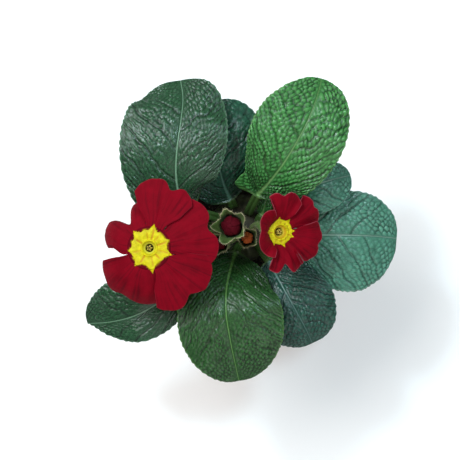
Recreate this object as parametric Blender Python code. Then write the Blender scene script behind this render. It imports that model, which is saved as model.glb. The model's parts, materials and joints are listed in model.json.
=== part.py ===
"""Potted primrose.

A rosette of puckered, toothed leaves with two open red flowers and three buds, growing from a
short crown in compost, in a plain round plastic pot.  The origin is the middle of the pot's
underside, +Z is up and the script's own tables are in millimetres.
"""

import math
import random

import bpy
import numpy as np
from mathutils import Matrix, Vector

MM = 0.001
UP = np.array((0.0, 0.0, 1.0))

# Gap left between pieces that touch in the real plant
CLEARANCE = 0.3
# How far a cutting shape stands out of what it cuts
CUTTER_EXCESS = 4.0

# Pot
POT_HEIGHT = 80.0
POT_TOP_RADIUS = 43.6
POT_BASE_RADIUS = 33.0
POT_WALL = 1.3
RIM_HEIGHT = 9.0
RIM_OVERHANG = 1.6
POT_SIDES = 32
FLOOR = 1.6
FOOT_WIDTH = 5.0
CHANNEL_HEIGHT = 2.0
CHANNEL_OUTER = 26.5
CHANNEL_INNER = 15.5
DRAIN_HOLES = 8
DRAIN_RADIUS = 3.0
DRAIN_CIRCLE = 21.0
DRAIN_SIDES = 8

# Compost
COMPOST_TOP = 71.0
COMPOST_LUMP = 1.1
COMPOST_SEED = 4
COMPOST_SIDES = 28
# Depth of the pit that the crown stands in, as it narrows to its foot
PIT_WALL = [(-1.2, 65.6), (-3.7, 57.4)]
PIT_FOOT_RADIUS = 7.0

# Crown: the short rootstock that carries every leaf and flower stem
CROWN_TOP = 76.5
CROWN_RADIUS = 16.5
CROWN_FOOT = 50.0
CROWN_SIDES = 28
SOCKET_DEPTH = 8.0
SOCKET_GAP = 0.55
SOCKET_SIDES = 12
SOCKET_SQUARENESS = 0.5
CROWN_KNOB = 0.8
CROWN_PROFILE = [(0, CROWN_FOOT), (6.0, CROWN_FOOT), (12.5, 58.0), (CROWN_RADIUS - 1.6, 66.0),
                 (CROWN_RADIUS - 0.4, 72.5), (CROWN_RADIUS - 1.2, 75.5), (8.0, CROWN_TOP),
                 (0, CROWN_TOP + 0.2)]

# Leaves
BLADE_THICK = 0.85
PETIOLE_HALF_WIDTH = 2.1
PETIOLE_DEPTH = 3.0
RIB_DEPTH_BASE = 2.2
RIB_DEPTH_TIP = 0.4
PUCKER = 0.55
TOOTH = 0.55
VEIN_SWEEP = 2.4
# Length over which a blade takes up its fold and wave
BLADE_RISE = 8.0
PETIOLE_ROWS = 5
# Places across half a leaf, from midrib to margin, in the blade and in the stalk
BLADE_COLUMNS = (0.0, 0.07, 0.37, 0.69, 1.0)
STALK_COLUMNS = (0.0, 0.3, 0.62, 0.87, 1.0)
STALK_DEPTHS = (1.0, 0.94, 0.78, 0.52, 0.3)
# A leaf narrower than this has its stalk, rib and pucker in proportion, down to the least share
FULL_SIZE_HALF_WIDTH = 12.0
LEAST_SHARE = 0.6

# Each leaf: where its stalk stands on the crown (bearing in degrees, distance), the spine that it
# follows from there to its tip, which spine point the blade starts at, the half widths left and
# right of the midrib seen from the crown, each half's fullness (small is square), and the place
# of its widest part (small is far out), and how its halves fold up, curl down and wave.
LEAVES = {
    "leaf_1": dict(
        bearing=152, reach=7.2,
        spine=[(-14.0, 5.5, 93), (-22.5, 8.0, 102), (-28.2, 14.0, 107), (-30.0, 24.0, 111),
               (-29.4, 36.0, 113), (-27.8, 48.0, 111), (-27.0, 58.0, 107), (-28.2, 66.7, 102)],
        blade_at=1, left=26.0, right=21.8, full=(0.7, 0.86), widest=0.84,
        fold=0.16, curl=0.22, wave=0.9, waves=3.0, rows=20),
    "leaf_2": dict(
        bearing=112, reach=10.8,
        spine=[(-5.5, 12.8, 85), (-9.0, 21.0, 93), (-11.5, 32.0, 99), (-13.0, 42.0, 100),
               (-14.5, 51.0, 97), (-16.5, 57.5, 93)],
        blade_at=0, left=18.0, right=23.5, full=(0.62, 1.05), widest=0.76,
        fold=0.1, curl=0.2, wave=0.8, waves=2.5, rows=16),
    "leaf_3": dict(
        bearing=70, reach=7.2,
        spine=[(6.5, 14.5, 96), (12.0, 21.0, 107), (18.5, 29.5, 115), (25.0, 40.5, 119),
               (30.0, 51.0, 119), (33.0, 59.5, 117), (35.0, 66.5, 113)],
        blade_at=0, left=22.0, right=20.0, full=(1.18, 1.08), widest=0.8,
        fold=0.12, curl=0.2, wave=0.9, waves=3.0, rows=20),
    "leaf_4": dict(
        bearing=36, reach=10.8,
        spine=[(16.0, 11.0, 90), (23.0, 15.0, 98), (32.0, 19.0, 102), (41.0, 22.0, 101),
               (49.0, 24.0, 96)],
        blade_at=0, left=10.5, right=13.0, full=(1.05, 0.9), widest=0.8,
        fold=0.1, curl=0.25, wave=0.6, waves=2.0, rows=14),
    "leaf_5": dict(
        bearing=-6, reach=10.8,
        spine=[(18.0, -2.5, 84), (26.0, -3.0, 88), (37.0, -3.2, 91), (48.0, -3.3, 91),
               (58.0, -3.6, 89), (66.0, -4.2, 86), (71.5, -4.8, 83)],
        blade_at=0, left=20.5, right=26.0, full=(1.02, 0.86), widest=0.78,
        fold=0.08, curl=0.16, wave=0.8, waves=3.0, rows=18),
    "leaf_6": dict(
        bearing=-48, reach=10.8,
        spine=[(12.0, -15.0, 86), (15.5, -22.0, 92), (20.5, -31.0, 96), (25.5, -40.0, 97),
               (29.5, -47.5, 94), (32.0, -53.0, 90)],
        blade_at=0, left=19.0, right=17.0, full=(0.95, 0.85), widest=0.8,
        fold=0.1, curl=0.2, wave=0.8, waves=2.5, rows=16),
    "leaf_7": dict(
        bearing=-98, reach=7.2,
        spine=[(-3.2, -11.0, 86), (-5.4, -18.0, 97), (-7.4, -27.0, 106), (-7.6, -38.0, 110),
               (-5.8, -50.0, 108), (-3.6, -61.0, 103), (-1.8, -69.5, 97)],
        blade_at=0, left=25.4, right=22.2, full=(0.98, 1.1), widest=0.8,
        fold=0.14, curl=0.22, wave=0.9, waves=3.0, rows=20),
    "leaf_8": dict(
        bearing=214, reach=10.8,
        spine=[(-17.0, -14.0, 85), (-25.0, -22.5, 91), (-36.0, -32.5, 95), (-48.0, -39.5, 95),
               (-60.0, -43.0, 90), (-72.0, -44.4, 82)],
        blade_at=0, left=13.0, right=20.0, full=(3.0, 0.85), widest=0.9,
        fold=0.3, curl=0.3, wave=1.0, waves=3.5, rows=18),
    "leaf_9": dict(
        bearing=19, reach=7.4,
        spine=[(8.8, 5.8, 83), (9.6, 8.4, 87), (10.4, 10.8, 89.5), (11.0, 13.2, 90.5)],
        blade_at=0, left=3.2, right=3.2, full=(0.85, 0.85), widest=0.7,
        fold=0.35, curl=0.2, wave=0.2, waves=1.5, rows=8),
    "leaf_10": dict(
        bearing=181, reach=10.8,
        spine=[(-19.0, 1.5, 83), (-26.0, 2.0, 86), (-35.0, 1.5, 88), (-44.0, 0.0, 87),
               (-51.0, -2.0, 84)],
        blade_at=0, left=9.0, right=12.0, full=(0.8, 0.8), widest=0.8,
        fold=0.12, curl=0.2, wave=0.6, waves=2.0, rows=12),
}

# Flower and bud stems
STEM_RADIUS = 1.5
STEM_SIDES = 10
STEM_RINGS = 7
CALYX_WALL = 0.75
CUP_FLOOR = 2.2
FURL_TWIST = 50.0
TUBE_RADIUS = 2.5
TUBE_WALL = 0.7
TUBE_LENGTH = 13.0
PETAL_THICK = 0.7
PETAL_COLUMNS = 6
PETAL_ROWS = 6
JOIN_RADIUS = 9.4
SLIT = 1.6
LAYER_STEP = 0.62
# A petal's corners fall short of its middle by this share, and its notch is this wide
CORNER_DROP = 0.16
NOTCH_WIDTH = 0.2
# Petals part by the slit near the eye, then widen until they overlap by these degrees
SLIT_END = 0.14
OVERLAP = 7.0
SPREAD_START = 0.12
SPREAD_LENGTH = 0.5
PETAL_STEPS = 10
EYE_THICK = 0.6
EYE_RADIUS = 8.2
THROAT_RING = 1.0
EYE_SIDES = 30
# Rings of the eye from the throat outward: how far from the tube, and how high
EYE_RINGS = ((0.2, 0.3), (1.0, THROAT_RING), (2.0, 0.1))
EYE_LIFT = 0.35
LONG_SPIKE = 2.4
SHORT_SPIKE = 0.3
SPIKE_GAP = -0.7
# Levels of the anthers and of a furled bud: height and radius, and share of length and girth
ANTHER_SIDES = 15
ANTHER_LEVELS = ((-5.0, 0.9), (-3.4, 1.25), (-1.4, 1.25), (-0.5, 0.7))
ANTHER_PARTING = 0.72
FURL_SIDES = 15
FURL_LEVELS = ((0.0, 0.5), (0.2, 0.72), (0.45, 1.0), (0.7, 0.92), (0.88, 0.62), (1.0, 0.24))
FURL_LAP = 0.16

# Each open flower: the middle of its throat, how its face leans (degrees from straight up, and
# towards which bearing), where its stem stands on the crown and the points that it passes, and
# its petals.  A petal: its first and last bearing on the eye's edge, its length from the throat,
# how far it droops or rises (degrees at the throat and at its end), its notch's depth and place
# across it, the layer of its first and its last edge (+1 lies on its neighbour, -1 under it), and
# its folds.
FLOWERS = {
    "flower_1": dict(
        face=(-41.3, -8.8, 124.0), lean=4.0, lean_to=180.0,
        bearing=185, reach=4.7, size=1.0, eye_reach=10.4, eye_turn=4.0,
        stem=[(-9.0, -1.0, 92), (-22.0, -4.5, 101), (-34.0, -7.8, 102.5)],
        calyx=(4.6, 8.6, 1.2, 3.0),
        petals=[
            dict(first=51, last=98, length=31.0, slope=(3, 10), notch=4.0, notch_at=-0.18,
                 layers=(1, 1), fold=0.8),
            dict(first=98, last=196, length=27.5, slope=(4, 76), notch=8.0, notch_at=-0.3,
                 layers=(-1, -1), fold=1.2),
            dict(first=196, last=284, length=29.2, slope=(4, 58), notch=1.6, notch_at=0.0,
                 layers=(1, -1), fold=1.0),
            dict(first=284, last=346, length=31.0, slope=(2, 16), notch=3.6, notch_at=-0.1,
                 layers=(1, 1), fold=0.9),
            dict(first=346, last=411, length=31.0, slope=(2, 16), notch=3.6, notch_at=0.0,
                 layers=(-1, -1), fold=0.9),
        ]),
    "flower_2": dict(
        face=(16.5, -1.8, 117.0), lean=24.0, lean_to=-10.0,
        bearing=0, reach=4.7, size=0.62, eye_reach=5.6, eye_turn=12.0,
        stem=[(6.8, 1.6, 87)],
        calyx=(4.6, 8.6, 1.3, 3.4),
        petals=[
            dict(first=58, last=118, length=19.3, slope=(-44, 6), notch=2.2, notch_at=0.1,
                 layers=(1, -1), fold=2.2),
            dict(first=118, last=248, length=16.0, slope=(-62, -14), notch=2.4, notch_at=-0.1,
                 layers=(1, 1), fold=2.2),
            dict(first=248, last=312, length=19.8, slope=(-46, 8), notch=2.8, notch_at=0.1,
                 layers=(-1, 1), fold=2.2),
            dict(first=312, last=372, length=21.3, slope=(-28, 20), notch=1.8, notch_at=0.0,
                 layers=(-1, 1), fold=1.8),
            dict(first=372, last=418, length=21.3, slope=(-24, 18), notch=1.6, notch_at=0.0,
                 layers=(-1, -1), fold=1.8),
        ]),
}

# Each bud: the tip of its furled petals, where its stem stands and passes, and its girth
BUDS = {
    "bud_1": dict(tip=(-6.3, 0.9, 113.0), bearing=90, reach=0.4, stem=[(-1.5, 0.8, 89)],
                  girth=4.3, petal_length=9.5, calyx=(5.9, 7.2, 1.35, 5.0)),
    "bud_2": dict(tip=(2.0, -4.4, 101.0), bearing=-62, reach=4.8, stem=[(2.0, -4.8, 84)],
                  girth=2.7, petal_length=7.0, calyx=(4.0, 5.6, 1.15, 3.6)),
    "bud_3": dict(tip=(-11.4, -7.4, 101.0), bearing=240, reach=4.8, stem=[(-5.6, -5.6, 84)],
                  girth=2.7, petal_length=6.6, calyx=(4.0, 5.4, 1.2, 3.4)),
}


def clear_scene():
    for item in list(bpy.data.objects):
        bpy.data.objects.remove(item, do_unlink=True)


def linear(channel):
    return channel / 12.92 if channel <= 0.04045 else ((channel + 0.055) / 1.055) ** 2.4


def plain_material(name, hex_colour, roughness):
    made = bpy.data.materials.new(name)
    made.use_nodes = True
    shader = made.node_tree.nodes["Principled BSDF"]
    colour = [linear(int(hex_colour[i:i + 2], 16) / 255) for i in (1, 3, 5)]
    shader.inputs["Base Color"].default_value = (*colour, 1.0)
    shader.inputs["Roughness"].default_value = roughness
    shader.inputs["Metallic"].default_value = 0.0
    made.diffuse_color = (*colour, 1.0)
    return made


def add_piece(name, points, faces, finish, sharp_degrees=40.0):
    """Makes one named object from points in millimetres."""
    mesh = bpy.data.meshes.new(name)
    mesh.from_pydata([tuple(np.asarray(p) * MM) for p in points], [], faces)
    mesh.validate()
    mesh.shade_smooth()
    mesh.set_sharp_from_angle(angle=math.radians(sharp_degrees))
    mesh.materials.append(finish)
    piece = bpy.data.objects.new(name, mesh)
    bpy.context.scene.collection.objects.link(piece)
    return piece


def unit(vector):
    return vector / np.linalg.norm(vector)


def smoothstep(value):
    value = min(1.0, max(0.0, value))
    return value * value * (3 - 2 * value)


def catmull(before, start, end, after, t):
    """A point of the smooth curve from start to end."""
    return 0.5 * (2 * start + (end - before) * t
                  + (2 * before - 5 * start + 4 * end - after) * t * t
                  + (3 * start - before - 3 * end + after) * t ** 3)


class Spine:
    """A smooth line through points, its first stretch straight, measured along its length."""

    STEPS = 12

    def __init__(self, points, side):
        knots = [np.array(p, float) for p in points]
        self.side = np.array(side, float)
        line = [knots[0]]
        for i in range(1, len(knots) - 1):
            start, end = knots[i], knots[i + 1]
            before = knots[i - 1]
            if i == 1:
                before = start - unit(knots[1] - knots[0]) * np.linalg.norm(end - start)
            after = knots[i + 2] if i + 2 < len(knots) else 2 * end - start
            for step in range(self.STEPS):
                line.append(catmull(before, start, end, after, step / self.STEPS))
        line.append(knots[-1])
        self.line = np.array(line)
        gaps = np.linalg.norm(np.diff(self.line, axis=0), axis=1)
        self.lengths = np.concatenate(([0.0], np.cumsum(gaps)))
        self.total = self.lengths[-1]
        self.knot_lengths = [0.0] + [self.lengths[1 + i * self.STEPS] for i in range(len(knots) - 1)]

    def at(self, length):
        """Point, forward, left and up at a distance along the spine."""
        point = np.array([np.interp(length, self.lengths, self.line[:, k]) for k in range(3)])
        ahead = np.array([np.interp(length + 0.8, self.lengths, self.line[:, k]) for k in range(3)])
        behind = np.array([np.interp(length - 0.8, self.lengths, self.line[:, k]) for k in range(3)])
        forward = unit(ahead - behind)
        left = np.cross(UP, forward) + 0.15 * self.side
        left = unit(left - forward * forward.dot(left))
        return point, forward, left, np.cross(forward, left)


def on_crown(bearing, reach, height):
    angle = math.radians(bearing)
    return (reach * math.cos(angle), reach * math.sin(angle), height)


def bearing_side(bearing):
    """The level direction to the left of a bearing."""
    angle = math.radians(bearing)
    return (-math.sin(angle), math.cos(angle), 0.0)


def leaf_share(leaf):
    return min(1.0, max(LEAST_SHARE, leaf["left"] / FULL_SIZE_HALF_WIDTH))


def leaf_spine(leaf):
    socket = on_crown(leaf["bearing"], leaf["reach"], CROWN_TOP - SOCKET_DEPTH + 1.0)
    clear_of_crown = on_crown(leaf["bearing"], leaf["reach"], CROWN_TOP + 2.0)
    return Spine([socket, clear_of_crown] + leaf["spine"], bearing_side(leaf["bearing"]))


def leaf_point(leaf, spine, along, across, start):
    """A point of the leaf's middle surface, and which way is up there."""
    point, forward, left, up = spine.at(along)
    half = leaf["left"] if across > 0 else leaf["right"]
    out = abs(across) / half
    blade = smoothstep((along - start) / BLADE_RISE)
    share = (along - start) / (spine.total - start)
    phase = math.tau * leaf["waves"] * share + (0.0 if across > 0 else 2.0)
    lift = half * (leaf["fold"] * out - leaf["curl"] * out * out) + leaf["wave"] * out ** 2 * math.sin(phase)
    return point + left * across + up * lift * blade, up


def leaf_rows(leaf, spine, start):
    """Rows of the leaf from its foot to its tip: places of midrib and margin, and half widths."""
    rows = []
    for i in range(PETIOLE_ROWS):
        along = start * (i / PETIOLE_ROWS)
        rows.append((along, along, PETIOLE_HALF_WIDTH, PETIOLE_HALF_WIDTH, 0.0))
    blade = spine.total - start
    stalk = min(PETIOLE_HALF_WIDTH, leaf["left"] * 0.5)
    for i in range(leaf["rows"]):
        turn = math.pi * i / leaf["rows"]
        margin = ((1 - math.cos(turn)) / 2) ** leaf["widest"]
        tooth = (TOOTH if i % 2 else -TOOTH) * leaf_share(leaf) if i else 0.0
        widths = [math.sin(turn) ** full if i else 0.0 for full in leaf["full"]]
        left = math.hypot(leaf["left"] * widths[0], stalk * (1 - margin)) + tooth
        right = math.hypot(leaf["right"] * widths[1], stalk * (1 - margin)) + tooth
        middle = 0.25 * margin + 0.75 * margin ** VEIN_SWEEP
        rows.append((start + blade * middle, start + blade * margin, left, right, margin))
    return rows


def pucker(row, column):
    """Veins lie low and the cells between them stand up, cell by cell."""
    if column in (0, len(BLADE_COLUMNS) - 1):
        return 0.0
    if row % 2 == 0:
        return -PUCKER
    high = (row // 2 + column) % 2
    return PUCKER * (1.5 if high else 0.4)


def make_leaf(name, leaf, finish):
    spine = leaf_spine(leaf)
    start = spine.knot_lengths[leaf["blade_at"] + 2]
    columns = [-c for c in range(len(BLADE_COLUMNS) - 1, 0, -1)] + list(range(len(BLADE_COLUMNS)))
    small = leaf_share(leaf)
    tops, unders = [], []
    for r, (middle, margin, left, right, share) in enumerate(leaf_rows(leaf, spine, start)):
        blade = smoothstep(share / 0.12)
        row = r - PETIOLE_ROWS
        for c in columns:
            i = abs(c)
            v = STALK_COLUMNS[i] * (1 - blade) + BLADE_COLUMNS[i] * blade
            along = middle + (margin - middle) * v ** 1.3
            across = v * (left if c < 0 else -right)
            point, up = leaf_point(leaf, spine, along, across, start)
            relief = pucker(row, i) * blade * small if row > 0 else 0.0
            rib = RIB_DEPTH_BASE * (1 - share) + RIB_DEPTH_TIP * share
            rib_depth = BLADE_THICK + rib * small * (1.0, 0.6, 0.0, 0.0, 0.0)[i]
            depth = PETIOLE_DEPTH * small * STALK_DEPTHS[i] * (1 - blade) + rib_depth * blade
            tops.append(point + up * relief)
            unders.append(point + up * (relief - max(depth, BLADE_THICK)))
    tip, up = leaf_point(leaf, spine, spine.total, 0.0, start)
    faces = sheet_faces(len(tops) // len(columns), len(columns))
    add_piece(name, tops + [tip] + unders + [tip - up * BLADE_THICK], faces, finish)


def sheet_faces(rows, columns):
    """Triangles of a closed sheet that narrows to a tip, split alike on both faces.

    Points come as the upper rows and tip, then the lower rows and tip; columns run left to right.
    """
    under = rows * columns + 1
    faces = []
    for r in range(rows - 1):
        for c in range(columns - 1):
            a, b = r * columns + c, r * columns + c + 1
            d, e = a + columns, b + columns
            if (c < columns // 2) == (r % 2 == 0):
                faces += [(a, b, e), (a, e, d), (a + under, e + under, b + under),
                          (a + under, d + under, e + under)]
            else:
                faces += [(a, b, d), (b, e, d), (a + under, d + under, b + under),
                          (b + under, d + under, e + under)]
    tip, last = rows * columns, (rows - 1) * columns
    for c in range(columns - 1):
        a, b = last + c, last + c + 1
        faces += [(a, b, tip), (a + under, tip + under, b + under), (c, c + under, c + 1 + under),
                  (c, c + 1 + under, c + 1)]
    for edge, turn in ((0, 1), (columns - 1, -1)):
        side = [r * columns + edge for r in range(rows)] + [tip]
        for a, b in zip(side, side[1:]):
            pair = [(a, b, b + under), (a, b + under, a + under)]
            faces += [f[::turn] for f in pair]
    return faces


def ring_faces(rings, sides):
    """Faces of a tube of rings, with its two ends filled."""
    faces = []
    for r in range(rings - 1):
        for s in range(sides):
            a, b = r * sides + s, r * sides + (s + 1) % sides
            faces += [(a, b, b + sides), (a, b + sides, a + sides)]
    faces.append(tuple(reversed(range(sides))))
    faces.append(tuple((rings - 1) * sides + s for s in range(sides)))
    return faces


def turned(profile, sides, wobble=None):
    """Points and faces of a profile of (radius, height) turned about Z, both its ends on the axis."""
    points = [(0.0, 0.0, profile[0][1])]
    for r, (radius, height) in enumerate(profile[1:-1]):
        for s in range(sides):
            angle = math.tau * s / sides
            dr, dz = wobble(r, s) if wobble else (0.0, 0.0)
            points.append(((radius + dr) * math.cos(angle), (radius + dr) * math.sin(angle), height + dz))
    points.append((0.0, 0.0, profile[-1][1]))
    last = len(points) - 1
    rings = len(profile) - 2
    faces = []
    for s in range(sides):
        t = (s + 1) % sides
        faces.append((0, 1 + t, 1 + s))
        for r in range(rings - 1):
            a, b = 1 + r * sides + s, 1 + r * sides + t
            faces += [(a, b, b + sides), (a, b + sides, a + sides)]
        faces.append((last - sides + s, last - sides + t, last))
    return points, faces


def cut(piece, cutters):
    """Cuts the shapes of a collection out of a piece, then removes them."""
    holder = bpy.data.collections.new(piece.name + "_cutters")
    bpy.context.scene.collection.children.link(holder)
    for cutter in cutters:
        bpy.context.scene.collection.objects.unlink(cutter)
        holder.objects.link(cutter)
        cutter.hide_render = True
        cutter.display_type = "WIRE"
    boolean = piece.modifiers.new("holes", "BOOLEAN")
    boolean.operation = "DIFFERENCE"
    boolean.operand_type = "COLLECTION"
    boolean.collection = holder
    boolean.solver = "MANIFOLD"
    graph = bpy.context.evaluated_depsgraph_get()
    mesh = bpy.data.meshes.new_from_object(piece.evaluated_get(graph))
    piece.modifiers.clear()
    piece.data = mesh
    for cutter in cutters:
        bpy.data.objects.remove(cutter, do_unlink=True)
    bpy.data.collections.remove(holder)


def prism(name, x, y, low, high, half_x, half_y, bearing, sides, squareness=1.0):
    """An upright cutter, oval or (squareness below 1) nearer to a box with round corners."""
    turn = math.radians(bearing)
    points = []
    for height in (low, high):
        for s in range(sides):
            angle = math.tau * s / sides
            dx = half_x * math.copysign(abs(math.cos(angle)) ** squareness, math.cos(angle))
            dy = half_y * math.copysign(abs(math.sin(angle)) ** squareness, math.sin(angle))
            points.append((x + dx * math.cos(turn) - dy * math.sin(turn),
                           y + dx * math.sin(turn) + dy * math.cos(turn), height))
    return add_piece(name, points, ring_faces(2, sides), None)


def pot_profile():
    top = POT_TOP_RADIUS
    slope = (top - POT_BASE_RADIUS) / POT_HEIGHT
    rim_low = POT_HEIGHT - RIM_HEIGHT
    under_rim = POT_BASE_RADIUS + slope * rim_low
    rim = top + RIM_OVERHANG
    foot = POT_BASE_RADIUS - FOOT_WIDTH
    inner_floor = CHANNEL_HEIGHT + FLOOR
    return [
        (0, 0), (CHANNEL_INNER - 1.5, 0), (CHANNEL_INNER, CHANNEL_HEIGHT),
        (CHANNEL_OUTER, CHANNEL_HEIGHT), (foot, 0), (POT_BASE_RADIUS - 0.7, 0),
        (POT_BASE_RADIUS, 0.7), (under_rim, rim_low), (rim - 0.3, rim_low + 0.5),
        (rim, POT_HEIGHT - 0.7), (rim - 0.6, POT_HEIGHT), (top - POT_WALL + 0.5, POT_HEIGHT),
        (top - POT_WALL, POT_HEIGHT - 0.5), (inner_radius(inner_floor + 1.0), inner_floor + 1.0),
        (foot + 1.6, FLOOR), (foot + 0.6, FLOOR), (CHANNEL_OUTER, inner_floor),
        (CHANNEL_INNER, inner_floor), (CHANNEL_INNER - 2.3, FLOOR), (0, FLOOR),
    ]


def inner_radius(height):
    return POT_BASE_RADIUS - POT_WALL + (POT_TOP_RADIUS - POT_BASE_RADIUS) * height / POT_HEIGHT


def make_pot(finish):
    points, faces = turned(pot_profile(), POT_SIDES)
    pot = add_piece("pot", points, faces, finish, 30)
    inside = CHANNEL_HEIGHT + FLOOR + CUTTER_EXCESS
    holes = []
    for i in range(DRAIN_HOLES):
        x, y, _ = on_crown(360 * (i + 0.5) / DRAIN_HOLES, DRAIN_CIRCLE, 0)
        holes.append(prism("drain_cutter", x, y, -CUTTER_EXCESS, inside, DRAIN_RADIUS, DRAIN_RADIUS,
                           0, DRAIN_SIDES))
    cut(pot, holes)
    return pot


def make_compost(finish):
    rng = random.Random(COMPOST_SEED)
    low = CHANNEL_HEIGHT + FLOOR + CLEARANCE
    wall = inner_radius(COMPOST_TOP - 1) - CLEARANCE - 0.2
    foot = inner_radius(low + 1.0) - CLEARANCE - 0.2
    pit = CROWN_RADIUS + CLEARANCE + 0.3
    profile = [(0, low), (foot - 1.0, low), (foot, low + 1.0), (wall, COMPOST_TOP - 1), (36, COMPOST_TOP),
               (30, COMPOST_TOP + 0.6), (24, COMPOST_TOP + 1.0), (pit + 2.5, COMPOST_TOP + 1.2),
               (pit, COMPOST_TOP - 1.5)]
    profile += [(pit + inward, height) for inward, height in PIT_WALL]
    profile += [(PIT_FOOT_RADIUS, CROWN_FOOT - 1.0), (0, CROWN_FOOT - 1.0)]

    def lumps(ring, side):
        height = rng.uniform(-1, 1) * COMPOST_LUMP
        return (0.0, height) if 3 <= ring <= 6 else (0.0, 0.0)

    points, faces = turned(profile, COMPOST_SIDES, lumps)
    return add_piece("compost", points, faces, finish, 60)


def make_crown(finish):
    """The rootstock: knobbly outside, with a socket for each stalk and stem."""
    def knobs(ring, side):
        return (-CROWN_KNOB * (side % 2), 0.0) if 1 <= ring <= 4 else (0.0, 0.0)

    points, faces = turned(CROWN_PROFILE, CROWN_SIDES, knobs)
    crown = add_piece("crown", points, faces, finish, 50)
    socket_floor, through_top = CROWN_TOP - SOCKET_DEPTH, CROWN_TOP + CUTTER_EXCESS
    sockets = []
    for leaf in LEAVES.values():
        small = leaf_share(leaf)
        x, y, _ = on_crown(leaf["bearing"], leaf["reach"] + PETIOLE_DEPTH * small / 2, 0)
        across = PETIOLE_HALF_WIDTH + SOCKET_GAP
        through = PETIOLE_DEPTH * small / 2 + SOCKET_GAP
        sockets.append(prism("socket_cutter", x, y, socket_floor, through_top, through, across,
                             leaf["bearing"], SOCKET_SIDES, SOCKET_SQUARENESS))
    for stem in list(FLOWERS.values()) + list(BUDS.values()):
        x, y, _ = on_crown(stem["bearing"], stem["reach"], 0)
        radius = STEM_RADIUS + SOCKET_GAP
        sockets.append(prism("socket_cutter", x, y, socket_floor, through_top, radius, radius,
                             0, SOCKET_SIDES))
    cut(crown, sockets)
    return crown


def face_turn(lean, lean_to):
    """Turns straight up into a direction that leans by some degrees towards a bearing."""
    axis = Vector((-math.sin(math.radians(lean_to)), math.cos(math.radians(lean_to)), 0.0))
    return np.array(Matrix.Rotation(math.radians(lean), 3, axis))


def make_stem(name, plant, floor, axis, finish):
    """A stem from its socket to the flower, opening into a cup with five pointed sepals."""
    reach, depth, flare, peak = plant["calyx"]
    socket = np.array(on_crown(plant["bearing"], plant["reach"], CROWN_TOP - SOCKET_DEPTH + 1.0))
    clear_of_crown = np.array(on_crown(plant["bearing"], plant["reach"], CROWN_TOP + 2.0))
    foot = floor - axis * CUP_FLOOR
    spine = Spine([socket, clear_of_crown] + plant["stem"] + [foot - axis * 3.5, foot], (0, 1, 0))
    points = []
    for i in range(STEM_RINGS):
        place, forward, _, _ = spine.at(spine.total * i / (STEM_RINGS - 1))
        forward = axis if i == STEM_RINGS - 1 else forward
        points += ring(place, forward, [STEM_RADIUS] * STEM_SIDES)
    narrow = TUBE_RADIUS + 2 * CLEARANCE
    for height, radius in ((1.0, narrow + 0.2), (3.5, reach * 0.86), (depth, reach * 0.95)):
        points += ring(foot + axis * height, axis, [radius] * STEM_SIDES)
    lifts = [peak if s % 2 else 0.0 for s in range(STEM_SIDES)]
    outside = [reach * (flare if s % 2 else 0.98) for s in range(STEM_SIDES)]
    inside = [radius - CALYX_WALL for radius in outside]
    for radii in (outside, inside):
        points += ring(foot + axis * (depth + 1.0), axis, radii, lifts)
    inner = ((depth, reach * 0.95 - CALYX_WALL), (3.5, reach * 0.86 - CALYX_WALL),
             (CUP_FLOOR, narrow - 0.2))
    for height, radius in inner:
        points += ring(foot + axis * height, axis, [radius] * STEM_SIDES)
    rings = len(points) // STEM_SIDES
    return add_piece(name, points, ring_faces(rings, STEM_SIDES), finish, 50)


def ring(middle, forward, radii, lifts=None, turn=0.0):
    """A ring of points square to a direction, each with its own radius and lift."""
    across = unit(np.cross((0.0, 1.0, 0.0), forward))
    beside = np.cross(forward, across)
    points = []
    for s, radius in enumerate(radii):
        angle = math.tau * s / len(radii) + math.radians(turn)
        lift = np.array(forward) * (lifts[s] if lifts else 0.0)
        points.append(middle + across * radius * math.cos(angle) + beside * radius * math.sin(angle) + lift)
    return points


def dish(radius):
    """Height of the flower's face near its throat."""
    return -0.9 * math.exp(-((radius - TUBE_RADIUS) / 2.2) ** 2)


def petal_point(petal, size, side, out):
    """A point of a petal's upper face: side runs -1 to 1 across it, out 0 to 1 to its edge."""
    join = JOIN_RADIUS * size
    rounded = 1 - CORNER_DROP * abs(side) ** 3
    notch = petal["notch"] * math.exp(-((side - petal["notch_at"]) / NOTCH_WIDTH) ** 2)
    edge = petal["length"] * rounded - notch
    travel = (edge - join) * out / PETAL_STEPS
    radius, height = join, dish(join)
    for step in range(PETAL_STEPS):
        share = out * (step + 0.5) / PETAL_STEPS
        slope = petal["slope"][0] + (petal["slope"][1] - petal["slope"][0]) * share
        radius += travel * math.cos(math.radians(slope))
        height -= travel * math.sin(math.radians(slope))
    first, last = petal["first"], petal["last"]
    parted = smoothstep(out / SLIT_END)
    spread = smoothstep((out - SPREAD_START) / SPREAD_LENGTH)
    widen = (SLIT + OVERLAP) * spread - SLIT * parted
    middle, half = (first + last) / 2, (last - first) / 2
    bearing = math.radians(middle + side * (half + widen))
    layer = petal["layers"][1] if side > 0 else petal["layers"][0]
    step_up = layer * LAYER_STEP * parted * side ** 2
    folds = petal["fold"] * out * (math.cos(side * math.pi * 1.5) - 0.4) * 0.5
    return (radius * math.cos(bearing), radius * math.sin(bearing), height + step_up + folds)


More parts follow.
